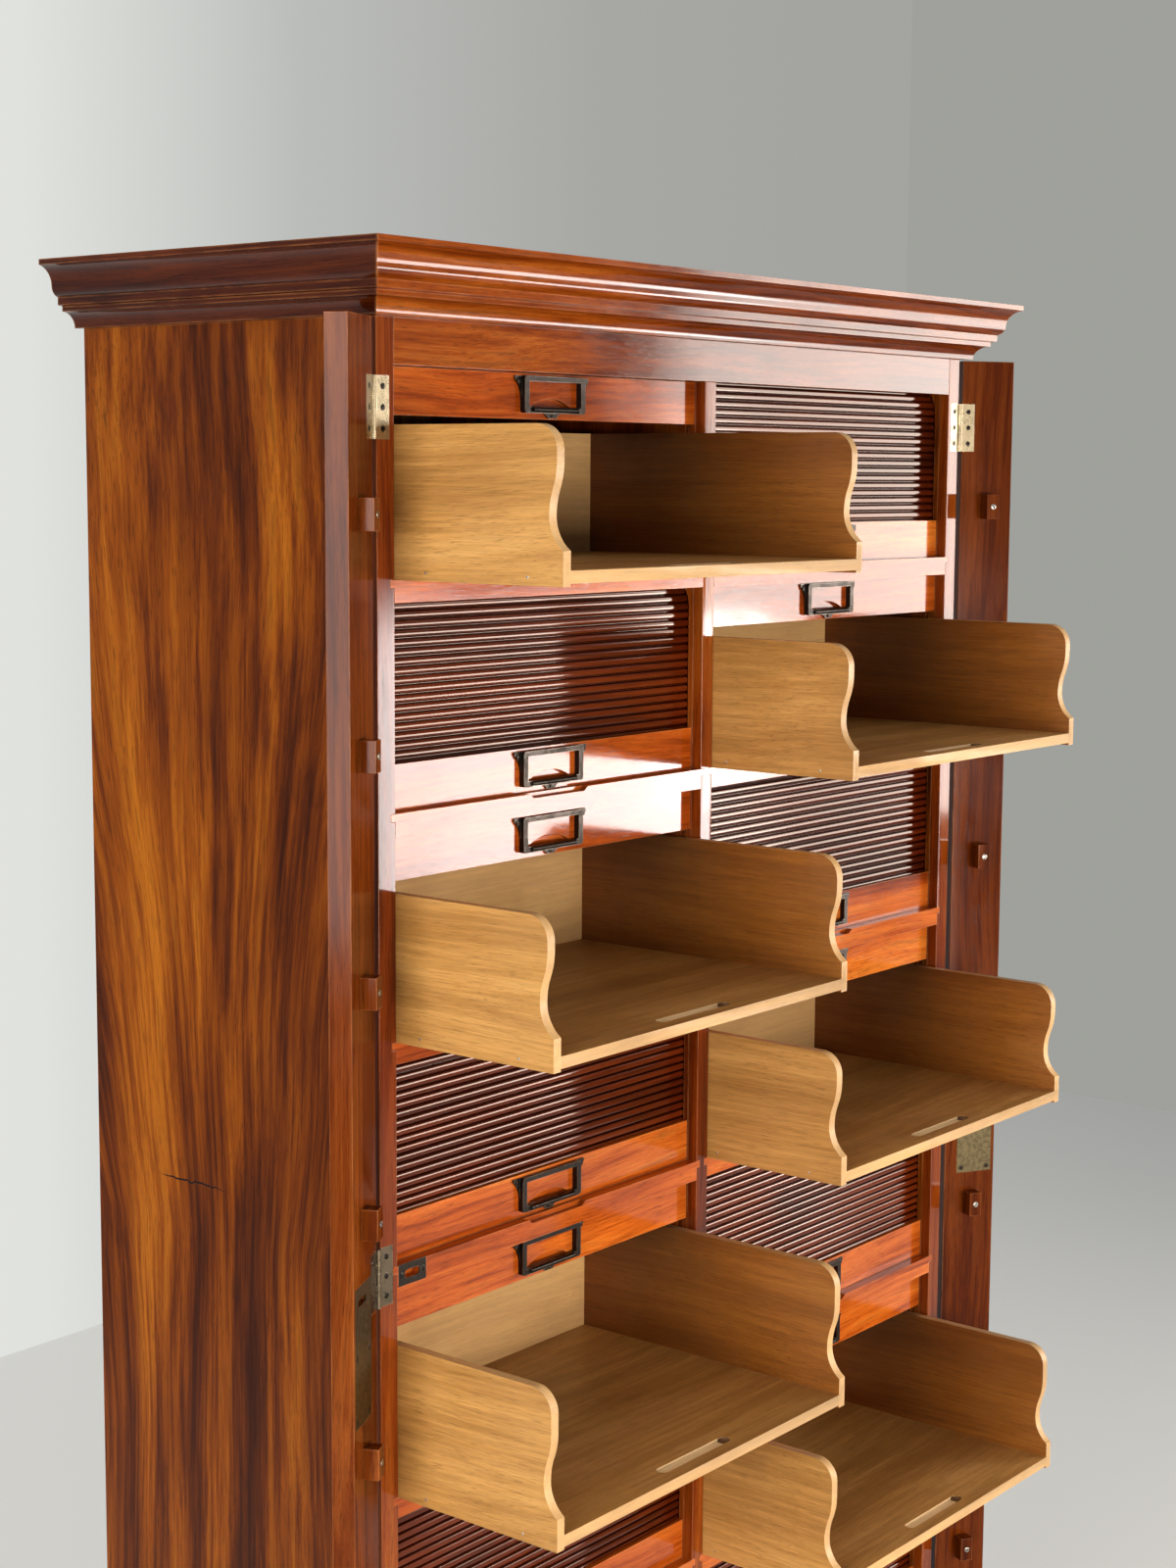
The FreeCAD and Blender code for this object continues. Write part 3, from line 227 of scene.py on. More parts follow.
def wood_colour(tree, vector, grain, stops, streak=0.5, pore=0.4, figure_scale=9.0, weights=EVEN_WEIGHTS,
                reach=0.13):
    """Colour of a board, with its pore mask and its fibre value.

    The weights are those of figure, bands and streaks, and reach is how much of them the stops span.
    """
    bend = tree.add("TexNoise")
    tree.put(bend.inputs["Vector"], tree.scaled(vector, along(grain, *WANDER)))
    bend.inputs["Scale"].default_value = 1.0
    bend.inputs["Detail"].default_value = 2.0
    centred = tree.vector("SUBTRACT", bend.outputs["Color"], (0.5, 0.5, 0.5))
    shift = tree.vector("MULTIPLY", centred, along(grain, WANDER_REACH, 0.0))
    bent = tree.vector("ADD", vector, shift)
    figure = grained(tree, bent, grain, figure_scale, figure_scale * FIGURE_STRETCH, detail=3.0,
                     distortion=0.7)
    bands = grained(tree, bent, grain, figure_scale * BAND_FINENESS, figure_scale * BAND_STRETCH, detail=5.0,
                    roughness=0.62)
    streaks = grained(tree, bent, grain, *STREAKS, detail=5.0, roughness=0.65)
    fibre = grained(tree, vector, grain, *FIBRES, detail=2.0)
    pores = tree.span(grained(tree, bent, grain, *PORES, detail=1.0), 0.58, 0.68)
    value = 0.0
    for part, weight in zip((figure, bands, streaks), weights):
        value = tree.math("ADD", tree.math("MULTIPLY", part, weight), value)
    colour = tree.ramp(tree.span(value, 0.5 - reach, 0.5 + reach), stops)
    darkest = stops[0][1]
    darker = tree.mix(tree.span(streaks, 0.55, 0.68, 0.0, streak), colour, darkest)
    shade = tree.add("CombineColor")
    fine = tree.span(fibre, 0.25, 0.75, 1.0 - FIBRE_DEPTH, 1.0 + FIBRE_DEPTH)
    for socket in shade.inputs:
        tree.put(socket, fine)
    toned = tree.mix(1.0, darker, shade.outputs[0], "MULTIPLY")
    pore_colour = tuple(part * PORE_SHADE for part in darkest)
    return tree.mix(tree.math("MULTIPLY", pores, pore), toned, pore_colour), pores, fibre


# pale colour of polished arrises: partly wear, partly a painted highlight along the edges
WORN_POLISH_AND_SHEEN = (0.62, 0.24, 0.075)


def worn_and_sheen_edges(tree, vector, colour, pale_edge_colour, amount, reach=2.0):
    """A surface paler along its arrises, partly as wear and partly as a painted highlight, more in some
    places than in others; reach is in mm.
    """
    bevel = tree.add("Bevel", samples=4)
    bevel.inputs["Radius"].default_value = reach * MM
    agree = tree.add("VectorMath", operation="DOT_PRODUCT")
    tree.put(agree.inputs[0], bevel.outputs[0])
    tree.put(agree.inputs[1], tree.geometry())
    near_edge = tree.span(agree.outputs["Value"], 0.80, 0.995, 1.0, 0.0)
    patchy = tree.span(tree.noise(tree.scaled(vector, 23), detail=4.0), 0.38, 0.62, 0.25, 1.0)
    factor = tree.math("MULTIPLY", tree.math("MULTIPLY", near_edge, patchy), amount)
    return tree.mix(factor, colour, pale_edge_colour)


def handled(tree, vector, scale, reach, rough):
    """Roughness that varies in patches, as it does where hands have been."""
    return tree.span(tree.noise(tree.scaled(vector, scale), detail=4.0), *reach, *rough)


FLAME_FOOT = 950 * MM
FLAME_SPREAD = 1.5


def flame(tree, vector):
    """Pattern space of a side panel, whose figure fans out upwards from about half its height."""
    x, y, z = tree.split(vector)
    rise = tree.math("MAXIMUM", tree.math("SUBTRACT", z, FLAME_FOOT), 0.0)
    fan = tree.math("ADD", tree.math("MULTIPLY", rise, FLAME_SPREAD), 1.0)
    return tree.join(x, tree.math("DIVIDE", y, fan), z)


# the crack: where it lies, how far it wanders up and down, and its half width in the middle
LEFT_PANEL = -460 * MM
CRACK_LEVEL = 986 * MM
CRACK_WANDER = 16 * MM
CRACK_BACK = 54 * MM
CRACK_REACH = (20 * MM, 52 * MM)
CRACK_HALF = 0.9 * MM
CRACK_COLOUR = (0.012, 0.005, 0.003)


def with_crack(tree, vector, colour):
    """A short wandering shrinkage crack across the left side panel."""
    x, y, z = tree.split(vector)
    wander = tree.noise(tree.scaled(vector, (0, 38, 0)), detail=3.0)
    line = tree.math("ADD", tree.math("MULTIPLY", wander, CRACK_WANDER), CRACK_LEVEL)
    off_line = tree.math("ABSOLUTE", tree.math("SUBTRACT", z, line))
    off_middle = tree.math("ABSOLUTE", tree.math("SUBTRACT", y, CRACK_BACK))
    inside = tree.math("LESS_THAN", off_line, tree.span(off_middle, *CRACK_REACH, CRACK_HALF, 0.0))
    on_left = tree.math("LESS_THAN", x, LEFT_PANEL)
    return tree.mix(tree.math("MULTIPLY", inside, on_left), colour, CRACK_COLOUR)


# near black painted on the slats' steep flanks, as the shade between slats
SLAT_PAINTED_SHADE = (0.018, 0.002, 0.0005)


def slatted(tree, colour):
    """Slats painted dark on their steep flanks as the shade between them, with a shading normal that is
    flatter over each one's worn crown.
    """
    x, y, z = tree.split(tree.geometry())
    steep = tree.math("ABSOLUTE", z)
    # painted shade: each slat's flanks darken towards near black as they turn up or down
    colour = tree.mix(tree.span(steep, 0.45, 0.85, 0.0, 0.9), colour, SLAT_PAINTED_SHADE)
    lean = tree.math("MULTIPLY", z, tree.span(steep, 0.45, 0.95, 0.38, 1.0))
    unit = tree.add("VectorMath", operation="NORMALIZE")
    tree.put(unit.inputs[0], tree.join(x, y, lean))
    return colour, unit.outputs[0]


def polished_wood(name, grain, stops, streak=0.5, pore=0.4, rough=(0.07, 0.13), gloss=0.30, grain_bump=0.06,
                  wear_and_sheen=0.5, weights=EVEN_WEIGHTS, tint=(1.0, 1.0, 1.0), is_panel=False, is_slats=False):
    """French-polished hardwood: figure, streaks and filled pores under a slightly wavy gloss."""
    tree = new_tree(name)
    vector = tree.coordinates()
    pattern = flame(tree, vector) if is_panel else vector
    colour, pores, fibre = wood_colour(tree, pattern, grain, stops, streak, pore, weights=weights)
    if is_panel:
        colour = with_crack(tree, vector, colour)
    # paler arrises: partly wear, partly painted highlight
    if wear_and_sheen:
        colour = worn_and_sheen_edges(tree, vector, colour, WORN_POLISH_AND_SHEEN, wear_and_sheen)
    normal = None
    if is_slats:
        colour, normal = slatted(tree, colour)
    if grain_bump:
        wave = tree.noise(tree.scaled(vector, 11), detail=1.0)
        wavy = tree.bump(wave, 1.5 * MM, 0.08)
        relief = tree.math("SUBTRACT", tree.math("MULTIPLY", fibre, 0.3), pores)
        normal = tree.bump(relief, 0.15 * MM, grain_bump, wavy)
    return tree.finish(colour, handled(tree, vector, 9, (0.35, 0.70), rough), normal,
                       specular_ior_level=gloss, specular_tint=(*tint, 1.0))


# colours of the woods, from their darkest figure to their palest
MAHOGANY = [(0.0, (0.140, 0.020, 0.002)), (0.35, (0.320, 0.053, 0.004)),
            (0.70, (0.490, 0.105, 0.010)), (1.0, (0.620, 0.190, 0.024))]
STILE_MAHOGANY = [(0.0, (0.055, 0.008, 0.001)), (0.35, (0.140, 0.021, 0.002)),
                  (0.70, (0.215, 0.042, 0.004)), (1.0, (0.300, 0.080, 0.010))]
CORNICE_MAHOGANY = [(0.0, (0.062, 0.009, 0.001)), (0.35, (0.158, 0.026, 0.002)),
                    (0.70, (0.265, 0.054, 0.005)), (1.0, (0.400, 0.110, 0.015))]
RETURN_MAHOGANY = [(0.0, (0.013, 0.002, 0.0005)), (0.40, (0.036, 0.005, 0.001)),
                   (1.0, (0.090, 0.016, 0.002))]
SIDE_MAHOGANY = [(0.0, (0.030, 0.005, 0.0005)), (0.32, (0.098, 0.018, 0.001)),
                 (0.66, (0.200, 0.046, 0.002)), (1.0, (0.350, 0.106, 0.006))]
SLAT_MAHOGANY = [(0.0, (0.024, 0.003, 0.0005)), (0.5, (0.070, 0.008, 0.001)),
                 (1.0, (0.135, 0.020, 0.003))]
LEAF_MAHOGANY = [(0.0, (0.030, 0.005, 0.001)), (0.35, (0.076, 0.012, 0.001)),
                 (0.70, (0.130, 0.026, 0.003)), (1.0, (0.195, 0.048, 0.007))]
CARCASE = [(0.0, (0.130, 0.055, 0.018)), (0.5, (0.250, 0.120, 0.045)), (1.0, (0.360, 0.195, 0.080))]
OAK = [(0.0, (0.300, 0.135, 0.027)), (0.45, (0.490, 0.250, 0.065)), (1.0, (0.650, 0.375, 0.122))]
OAK_FIGURE = {"streak": 0.10, "pore": 0.35, "figure_scale": 7.0, "weights": (0.34, 0.30, 0.26),
              "reach": 0.16}
WORN_OAK = (0.70, 0.47, 0.23)
HANDLED_OAK = (0.24, 0.115, 0.036)
# darkening painted on the trays' inner faces, as the shade inside a tray
INNER_FACE_PAINTED_SHADE = (0.56, 0.38, 0.18)
# painted light inside the finger groove, and painted shadow at its end
GROOVE_PAINTED_LIGHT = (0.86, 0.62, 0.33)
GROOVE_SHADE = (0.15, 0.07, 0.025)
# the finger groove: half its length, the length of its end painted in shadow, and its depth and height from
# a tray's front and foot
GROOVE_HALF = 53 * MM
GROOVE_END = 8 * MM
GROOVE_BACK = (14 * MM, 40 * MM)
GROOVE_RISE = (8.6 * MM, 12.8 * MM)


def groove_room(name):
    """Ranges along X, Y and Z that hold only the finger groove of a drawn tray's floor."""
    low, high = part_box(name)
    middle = COLUMN_MIDDLE["left" if "left" in name else "right"]
    return ((middle - GROOVE_HALF, middle + GROOVE_HALF),
            (low[1] + GROOVE_BACK[0], low[1] + GROOVE_BACK[1]),
            (low[2] + GROOVE_RISE[0], low[2] + GROOVE_RISE[1]))


def oak_tray(name, groove=None):
    """Waxed oak boards: side boards run front to back, the rest across, with paler worn edges.

    The groove is the room of the finger groove, as three ranges. Its inside is painted pale as lit wood, and
    its end is painted in shadow.
    """
    tree = new_tree(name)
    vector = tree.coordinates()
    x, y, z = tree.split(vector)
    across = tree.math("ABSOLUTE", x)
    outer_side = tree.math("GREATER_THAN", across, TRAY_OUTER - TRAY_BOARD - 0.5 * MM)
    inner_side = tree.math("LESS_THAN", across, TRAY_INNER + TRAY_BOARD + 0.5 * MM)
    is_side = tree.math("MAXIMUM", outer_side, inner_side)
    sides, side_pores, _ = wood_colour(tree, vector, "Y", OAK, **OAK_FIGURE)
    rest, rest_pores, _ = wood_colour(tree, vector, "X", OAK, **OAK_FIGURE)
    colour = tree.mix(is_side, rest, sides)

    facing = tree.split(tree.geometry("True Normal"))
    top_edge = tree.math("MULTIPLY", is_side, tree.span(facing[2], 0.5, 0.9))
    front = tree.span(tree.math("MULTIPLY", facing[1], -1.0), 0.5, 0.9)
    steepest = 0.0
    for part in facing:
        steepest = tree.math("MAXIMUM", tree.math("ABSOLUTE", part), steepest)
    slanted = tree.span(steepest, 0.94, 0.99, 1.1, 0.0)
    worn = tree.math("MAXIMUM", tree.math("MAXIMUM", top_edge, front), slanted)
    colour = tree.mix(tree.math("MULTIPLY", worn, 0.35), colour, WORN_OAK)

    # the side boards' inner faces, painted darker as the shade that falls inside a tray: the outer boards'
    # look towards x = 0, and the inner ones' away from it
    outwards = tree.math("MULTIPLY", facing[0], x)
    outer_inside = tree.math("LESS_THAN", outwards, -300 * MM)
    inner_inside = tree.math("MULTIPLY", tree.math("GREATER_THAN", outwards, 12 * MM), inner_side)
    inside = tree.math("MAXIMUM", outer_inside, inner_inside)
    colour = tree.mix(inside, colour, tree.mix(1.0, colour, INNER_FACE_PAINTED_SHADE, "MULTIPLY"))
    handling = tree.noise(tree.scaled(vector, 5), detail=5.0)
    colour = tree.mix(tree.span(handling, 0.50, 0.72, 0.0, 0.30), colour, HANDLED_OAK)

    if groove:
        pale_mark = 1.0
        for part, (low, high) in zip((x, y, z), groove):
            pale_mark = tree.math("MULTIPLY", tree.within(part, low, high), pale_mark)
        # painted light over the groove's inside, then painted shadow over its end
        colour = tree.mix(tree.math("MULTIPLY", pale_mark, 0.8), colour, GROOVE_PAINTED_LIGHT)
        end = tree.math("GREATER_THAN", x, groove[0][1] - GROOVE_END)
        colour = tree.mix(tree.math("MULTIPLY", pale_mark, end), colour, GROOVE_SHADE)
    pores = tree.math("ADD", side_pores, rest_pores)
    normal = tree.bump(tree.math("MULTIPLY", pores, -1.0), 0.25 * MM, 0.35)
    return tree.finish(colour, handled(tree, vector, 14, (0.3, 0.7), (0.36, 0.55)), normal, ior=1.45)


def mitred_wood(name, front_stops, return_stops):
    """Polished moulding whose front length runs across and whose returns run back, split on the mitre."""
    tree = new_tree(name)
    vector = tree.coordinates()
    x, y, _ = tree.split(vector)
    beyond = tree.math("ADD", tree.math("ABSOLUTE", x), y)
    is_return = tree.math("GREATER_THAN", beyond, HALF + FRONT)
    front = wood_colour(tree, vector, "X", front_stops)[0]
    back = wood_colour(tree, vector, "Y", return_stops)[0]
    # paler arrises: partly wear, partly painted highlight
    colour = worn_and_sheen_edges(tree, vector, tree.mix(is_return, front, back), WORN_POLISH_AND_SHEEN, 0.35, 3.0)
    return tree.finish(colour, handled(tree, vector, 9, (0.35, 0.70), (0.09, 0.16)),
                       specular_ior_level=0.27)


def metal(name, clean, tarnish, rough, spots=0.5, patch=220, middle=None, pale_mark=None):
    """Old metal, worn clean in patches and dark where hands don't reach.

    Middle is a level and the colour of the fittings near it; the last argument is the colour of the arrises,
    which are paler partly from wear and partly as a painted highlight.
    """
    tree = new_tree(name)
    vector = tree.coordinates()
    patches = tree.noise(tree.scaled(vector, patch), detail=6.0, roughness=0.65)
    grime = tree.span(patches, 0.40, 0.62)
    fine = tree.noise(tree.scaled(vector, 1400), detail=3.0)
    colour = tree.mix(tree.math("MULTIPLY", grime, spots), clean, tarnish)
    if middle:
        level, darker = middle
        off_middle = tree.math("ABSOLUTE", tree.math("SUBTRACT", tree.split(vector)[2], level))
        colour = tree.mix(tree.span(off_middle, 0.08, 0.16, 0.85, 0.0), colour, darker)
    # paler arrises: partly wear, partly painted highlight
    if pale_mark:
        colour = worn_and_sheen_edges(tree, vector, colour, pale_mark, 0.85, 0.7)
    roughness = tree.span(tree.math("ADD", grime, fine), 0.4, 1.5, *rough)
    normal = tree.bump(fine, 0.1 * MM, 0.2)
    return tree.finish(colour, roughness, normal, metallic=1.0)


MIDDLE_HINGE = (952 * MM, (0.088, 0.064, 0.042))
ROUGH_WOOD = {"streak": 0.4, "rough": (0.50, 0.70), "gloss": 0.2}
materials = {
    "front_across": polished_wood("mahogany_across", "X", MAHOGANY),
    "front_up": polished_wood("mahogany_upright", "Z", STILE_MAHOGANY, gloss=0.26),
    "side": polished_wood("mahogany_side", "Z", SIDE_MAHOGANY, streak=0.45, rough=(0.16, 0.26), gloss=0.15,
                          grain_bump=0.15, weights=(0.26, 0.42, 0.32), is_panel=True),
    "slats": polished_wood("mahogany_slats", "X", SLAT_MAHOGANY, streak=0.4, pore=0.3, rough=(0.075, 0.105),
                           grain_bump=0.0, wear_and_sheen=0.0, tint=(1.0, 0.74, 0.55), is_slats=True),
    "leaf": polished_wood("mahogany_leaf", "Z", LEAF_MAHOGANY, rough=(0.10, 0.18), gloss=0.12),
    "frieze": polished_wood("mahogany_frieze", "X", CORNICE_MAHOGANY),
    "cornice": mitred_wood("mahogany_moulding", CORNICE_MAHOGANY, RETURN_MAHOGANY),
    "carcase_across": polished_wood("carcase_across", "X", CARCASE, **ROUGH_WOOD),
    "carcase_up": polished_wood("carcase_upright", "Z", CARCASE, **ROUGH_WOOD),
    "oak": oak_tray("waxed_oak"),
    "brass": metal("aged_brass", (0.42, 0.34, 0.215), (0.22, 0.172, 0.105), (0.25, 0.42), spots=0.55,
                   patch=70, middle=MIDDLE_HINGE, pale_mark=(0.60, 0.52, 0.36)),
    "lock_brass": metal("lock_brass", (0.110, 0.084, 0.042), (0.052, 0.040, 0.022), (0.34, 0.48), spots=0.7),
    "bronze": metal("dark_bronze", (0.034, 0.027, 0.022), (0.018, 0.014, 0.011), (0.32, 0.44), patch=160,
                    pale_mark=(0.42, 0.37, 0.30)),
    "pin": metal("pin_steel", (0.62, 0.60, 0.56), (0.30, 0.27, 0.23), (0.30, 0.50), spots=0.4),
    "steel": metal("screw_steel", (0.42, 0.39, 0.35), (0.16, 0.13, 0.10), (0.24, 0.45), spots=0.6),
    # near black for the screw slots' floors: painted shade and dirt
    "grime": metal("slot_painted_shade_and_dirt", (0.018, 0.014, 0.010), (0.010, 0.008, 0.006), (0.6, 0.8)),
}
drawn_trays = [name for name in nodes if name.startswith(("tray_left", "tray_right"))]
for name in drawn_trays:
    materials[name] = oak_tray(f"waxed_oak_{name}", groove_room(name))


def finish_for(name):
    """The material that a node of the frame wears."""
    if name in drawn_trays:
        return name
    if name == "trays_stored":
        return "oak"
    if name.startswith(("pull", "strike")):
        return "bronze"
    if name.startswith("lock"):
        return "lock_brass"
    if name.startswith(("stile_hinges", "leaf_hardware")):
        return "brass"
    if name.startswith("curtain"):
        return "slats"
    if name.startswith(("leaf_left", "leaf_right", "stop_blocks")):
        return "leaf"
    if name == "frieze":
        return "frieze"
    if name.startswith("side_"):
        return "side"
    if name.startswith(("cornice_front", "cornice_returns", "base_moulding")):
        return "cornice"
    if name == "back_panel":
        return "carcase_up"
    if name in ("shelves", "top_board", "bottom_board", "cornice_top"):
        return "carcase_across"
    if name.startswith(("stiles", "centre_partition")):
        return "front_up"
    return "front_across"


# width in mm of the rounding that each finish gets on its arrises
EDGE_ROUNDING = {
    "oak": 1.3, "frieze": 0.5, "leaf": 0.6, "front_across": 0.5, "front_up": 0.6, "side": 0.5,
    "cornice": 0.35, "bronze": 0.35, "brass": 0.2, "lock_brass": 0.15,
}
for name, thing in nodes.items():
    finish = finish_for(name)
    for slot in thing.material_slots:
        slot.material = materials[finish]
    width = EDGE_ROUNDING.get("oak" if name in drawn_trays else finish)
    if width:
        weld = thing.modifiers.new("weld", "WELD")
        weld.merge_threshold = 0.01 * MM
        rounding = thing.modifiers.new("rounding", "BEVEL")
        rounding.width = width * MM
        rounding.segments = 2
        rounding.limit_method = "ANGLE"
        rounding.angle_limit = math.radians(40)
        shading = thing.modifiers.new("shading", "WEIGHTED_NORMAL")
        shading.weight = 50


def new_piece(name, mesh, body):
    """A piece made of a mesh, which takes its finish from a slot and rides on a body."""
    piece = bpy.data.objects.new(name, mesh)
    bpy.context.scene.collection.objects.link(piece)
    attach(piece, body)
    return piece


# curtains: each closed one is stood for by a copy with its own mesh, which rides on its tambour
for name in [name for name in nodes if name.startswith("curtain_")]:
    _, column, row = name.split("_")
    body = f"{column}_tambour_{row}"
    low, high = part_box(name)
    piece = new_piece(f"slats_{body}", nodes[name].data.copy(), body)
    for slot in piece.material_slots:
        slot.material = materials["slats"]
    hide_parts(name)
    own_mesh(piece)


# screw heads: a slotted cap on each head, with a near-black floor in its slot as painted shade and dirt
ARC_STEPS = 10
CAP_RINGS = ((1.0, 0.0), (0.97, 0.7), (0.72, 1.0), (0.0, 1.15))
SLOT_WIDTH = 0.16
SLOT_FLOOR_HEIGHT = 0.12


def slotted_cap(centre, normal, radius, height, turn):
    """Vertices, faces and finish numbers of one cap: two half discs and the dirt between them."""
    normal = Vector(normal).normalized()
    side = normal.orthogonal().normalized()
    side = Matrix.Rotation(turn, 3, normal) @ side
    other = normal.cross(side)
    half_slot = radius * SLOT_WIDTH
    vertices = []
    faces = []
    finishes = []

    def point(across, up, lift):
        vertices.append(Vector(centre) + side * across + other * up + normal * lift)
        return len(vertices) - 1

    for sign in (-1, 1):
        rings = []
        for reach, lift in CAP_RINGS:
            ring_radius = max(radius * reach, half_slot * 1.02)
            start = math.asin(half_slot / ring_radius)
            angles = [start + (math.pi - 2 * start) * step / ARC_STEPS for step in range(ARC_STEPS + 1)]
            rings.append([point(ring_radius * math.cos(angle), sign * ring_radius * math.sin(angle),
                                height * lift) for angle in angles])
        for low, high in zip(rings, rings[1:]):
            for index in range(ARC_STEPS):
                quad = [low[index], low[index + 1], high[index + 1], high[index]]
                faces.append(quad if sign > 0 else quad[::-1])
                finishes.append(0)
    # the slot's floor, near black: painted shade and dirt
    corners = [point(across * radius * 0.97, up * half_slot, height * SLOT_FLOOR_HEIGHT)
               for across, up in ((-1, -1), (1, -1), (1, 1), (-1, 1))]
    faces.append(corners)
    finishes.append(1)
    return vertices, faces, finishes


def caps(name, spots, body, finish):
    """One piece that holds several slotted caps; each spot is (centre, normal, radius, height)."""
    vertices = []
    faces = []
    finishes = []
    for index, (centre, normal, radius, height) in enumerate(spots):
        turn = 0.7 + 1.9 * index
        new_vertices, new_faces, new_finishes = slotted_cap(centre, normal, radius, height, turn)
        offset = len(vertices)
        vertices += new_vertices
        faces += [[corner + offset for corner in face] for face in new_faces]
        finishes += new_finishes
    mesh = bpy.data.meshes.new(name)
    mesh.from_pydata(vertices, [], faces)
    mesh.materials.append(materials[finish])
    # the slot floors' near black: painted shade and dirt
    mesh.materials.append(materials["grime"])
    for polygon, number in zip(mesh.polygons, finishes):
        polygon.material_index = number
        polygon.use_smooth = number == 0
    new_piece(name, mesh, body)


# the leaves' hinge axes, and the angles that they stand open by
AXIS_X = 476.4 * MM
AXIS_Y = FRONT - 0.25 * MM
OPEN_ANGLE = {"left": -153.5, "right": 150.0}
LEAF_FACE = -0.25 * MM


def turn_of(column):
    return Matrix.Rotation(math.radians(OPEN_ANGLE[column]), 3, "Z")


def swung(column, across, depth, up):
    """A point of a leaf, given as it lies when closed, carried to where the leaf stands open."""
    sign = 1 if column == "left" else -1
    return turn_of(column) @ Vector((sign * across, depth, up)) + Vector((-sign * AXIS_X, AXIS_Y, 0))


# screws of the hinges, locks, strike plates and stop blocks; a cap is its radius and height
HINGE_LEVELS = (166 * MM, 952.5 * MM, 1704 * MM)
HINGE_SCREW_PITCH = 17.7 * MM
HINGE_SCREW_ACROSS = 11.15 * MM
STILE_SCREW_INSET = 7.75 * MM
LOCK_SCREWS_ACROSS = (25.1 * MM, 58.7 * MM)
LOCK_SCREW_LEVELS = (843.7 * MM, 900 * MM)
STRIKE_SCREWS_ACROSS = (446.2 * MM, 418.0 * MM)
STRIKE_SCREW_LEVEL = 947.75 * MM
BLOCK_SCREW_ACROSS = 37.4 * MM
BLOCK_FACE = LEAF_FACE + 15.3 * MM
BLOCK_SCREW_RISE_MM = 56.5
PLATE_CAP = (2.7 * MM, 0.25 * MM)
BLOCK_CAP = (3.1 * MM, 0.25 * MM)
FORWARDS = (0, -1, 0)
case_spots = []
for column, sign in (("left", 1), ("right", -1)):
    normal = turn_of(column) @ Vector((0, 1, 0))
    plate_spots = []
    for level in HINGE_LEVELS:
        for step in (-1, 0, 1):
            up = level + step * HINGE_SCREW_PITCH
            plate_spots.append((swung(column, HINGE_SCREW_ACROSS, LEAF_FACE, up), normal, *PLATE_CAP))
            case_spots.append(((-sign * (HALF - STILE_SCREW_INSET), FRONT, up), FORWARDS, *PLATE_CAP))
    for across in LOCK_SCREWS_ACROSS:
        for up in LOCK_SCREW_LEVELS:
            plate_spots.append((swung(column, across, LEAF_FACE, up), normal, *PLATE_CAP))
    caps(f"plate_screws_{column}", plate_spots, f"{column}_leaf", "bronze")
    block_spots = []
    for level in ROW_FLOORS.values():
        centre = swung(column, BLOCK_SCREW_ACROSS, BLOCK_FACE, (level + BLOCK_SCREW_RISE_MM) * MM)
        block_spots.append((centre, normal, *BLOCK_CAP))
    caps(f"block_screws_{column}", block_spots, f"{column}_leaf", "steel")
    for across in STRIKE_SCREWS_ACROSS:
        case_spots.append(((-sign * across, FRONT, STRIKE_SCREW_LEVEL), FORWARDS, *PLATE_CAP))
caps("case_screws", case_spots, "case", "bronze")

# screws of the pulls: one in each ear and one in the apron
UPPER_LIFT_MM = 139.5
LOWER_LIFT_MM = 151
PULL_FOOT_MM = 5.5
PULL_FACE = FRONT + 9.6 * MM
EAR_ACROSS = 47.5 * MM
EAR_RISE = 28.6 * MM
APRON_DROP = 2.25 * MM
EAR_CAP = (2.1 * MM, 0.2 * MM)
APRON_CAP = (1.7 * MM, 0.2 * MM)
pull_spots = {}
for column, middle in COLUMN_MIDDLE.items():
    for row, level in ROW_FLOORS.items():
        body = f"{column}_tambour_{row}"
        if is_drawn(column, row):
            body = "case"
            level += LOWER_LIFT_MM if row in LOWER_ROWS else UPPER_LIFT_MM
        foot = (level + PULL_FOOT_MM) * MM
        spots = pull_spots.setdefault(body, [])
        for sign in (-1, 1):
            spots.append(((middle + sign * EAR_ACROSS, PULL_FACE, foot + EAR_RISE), FORWARDS, *EAR_CAP))
        spots.append(((middle, PULL_FACE, foot - APRON_DROP), FORWARDS, *APRON_CAP))
for body, spots in pull_spots.items():
    caps(f"pull_screws_{body}", spots, body, "bronze")


# panel pins that hold the trays' bottom boards, seen on the side boards' outer faces
def pin_head(centre, normal, radius, height):
    """Vertices and faces of one low dome."""
    normal = Vector(normal)
    side = normal.orthogonal().normalized()
    other = normal.cross(side)
    vertices = [Vector(centre) + normal * height]
    for reach, lift in ((0.55, 0.85), (1.0, 0.0)):
        for step in range(ARC_STEPS):
            angle = 2 * math.pi * step / ARC_STEPS
            spoke = side * math.cos(angle) + other * math.sin(angle)
            vertices.append(Vector(centre) + spoke * (radius * reach) + normal * (height * lift))
    faces = []
    for step in range(ARC_STEPS):
        after = (step + 1) % ARC_STEPS
        faces.append([0, 1 + step, 1 + after])
        faces.append([1 + step, 1 + ARC_STEPS + step, 1 + ARC_STEPS + after, 1 + after])
    return vertices, faces


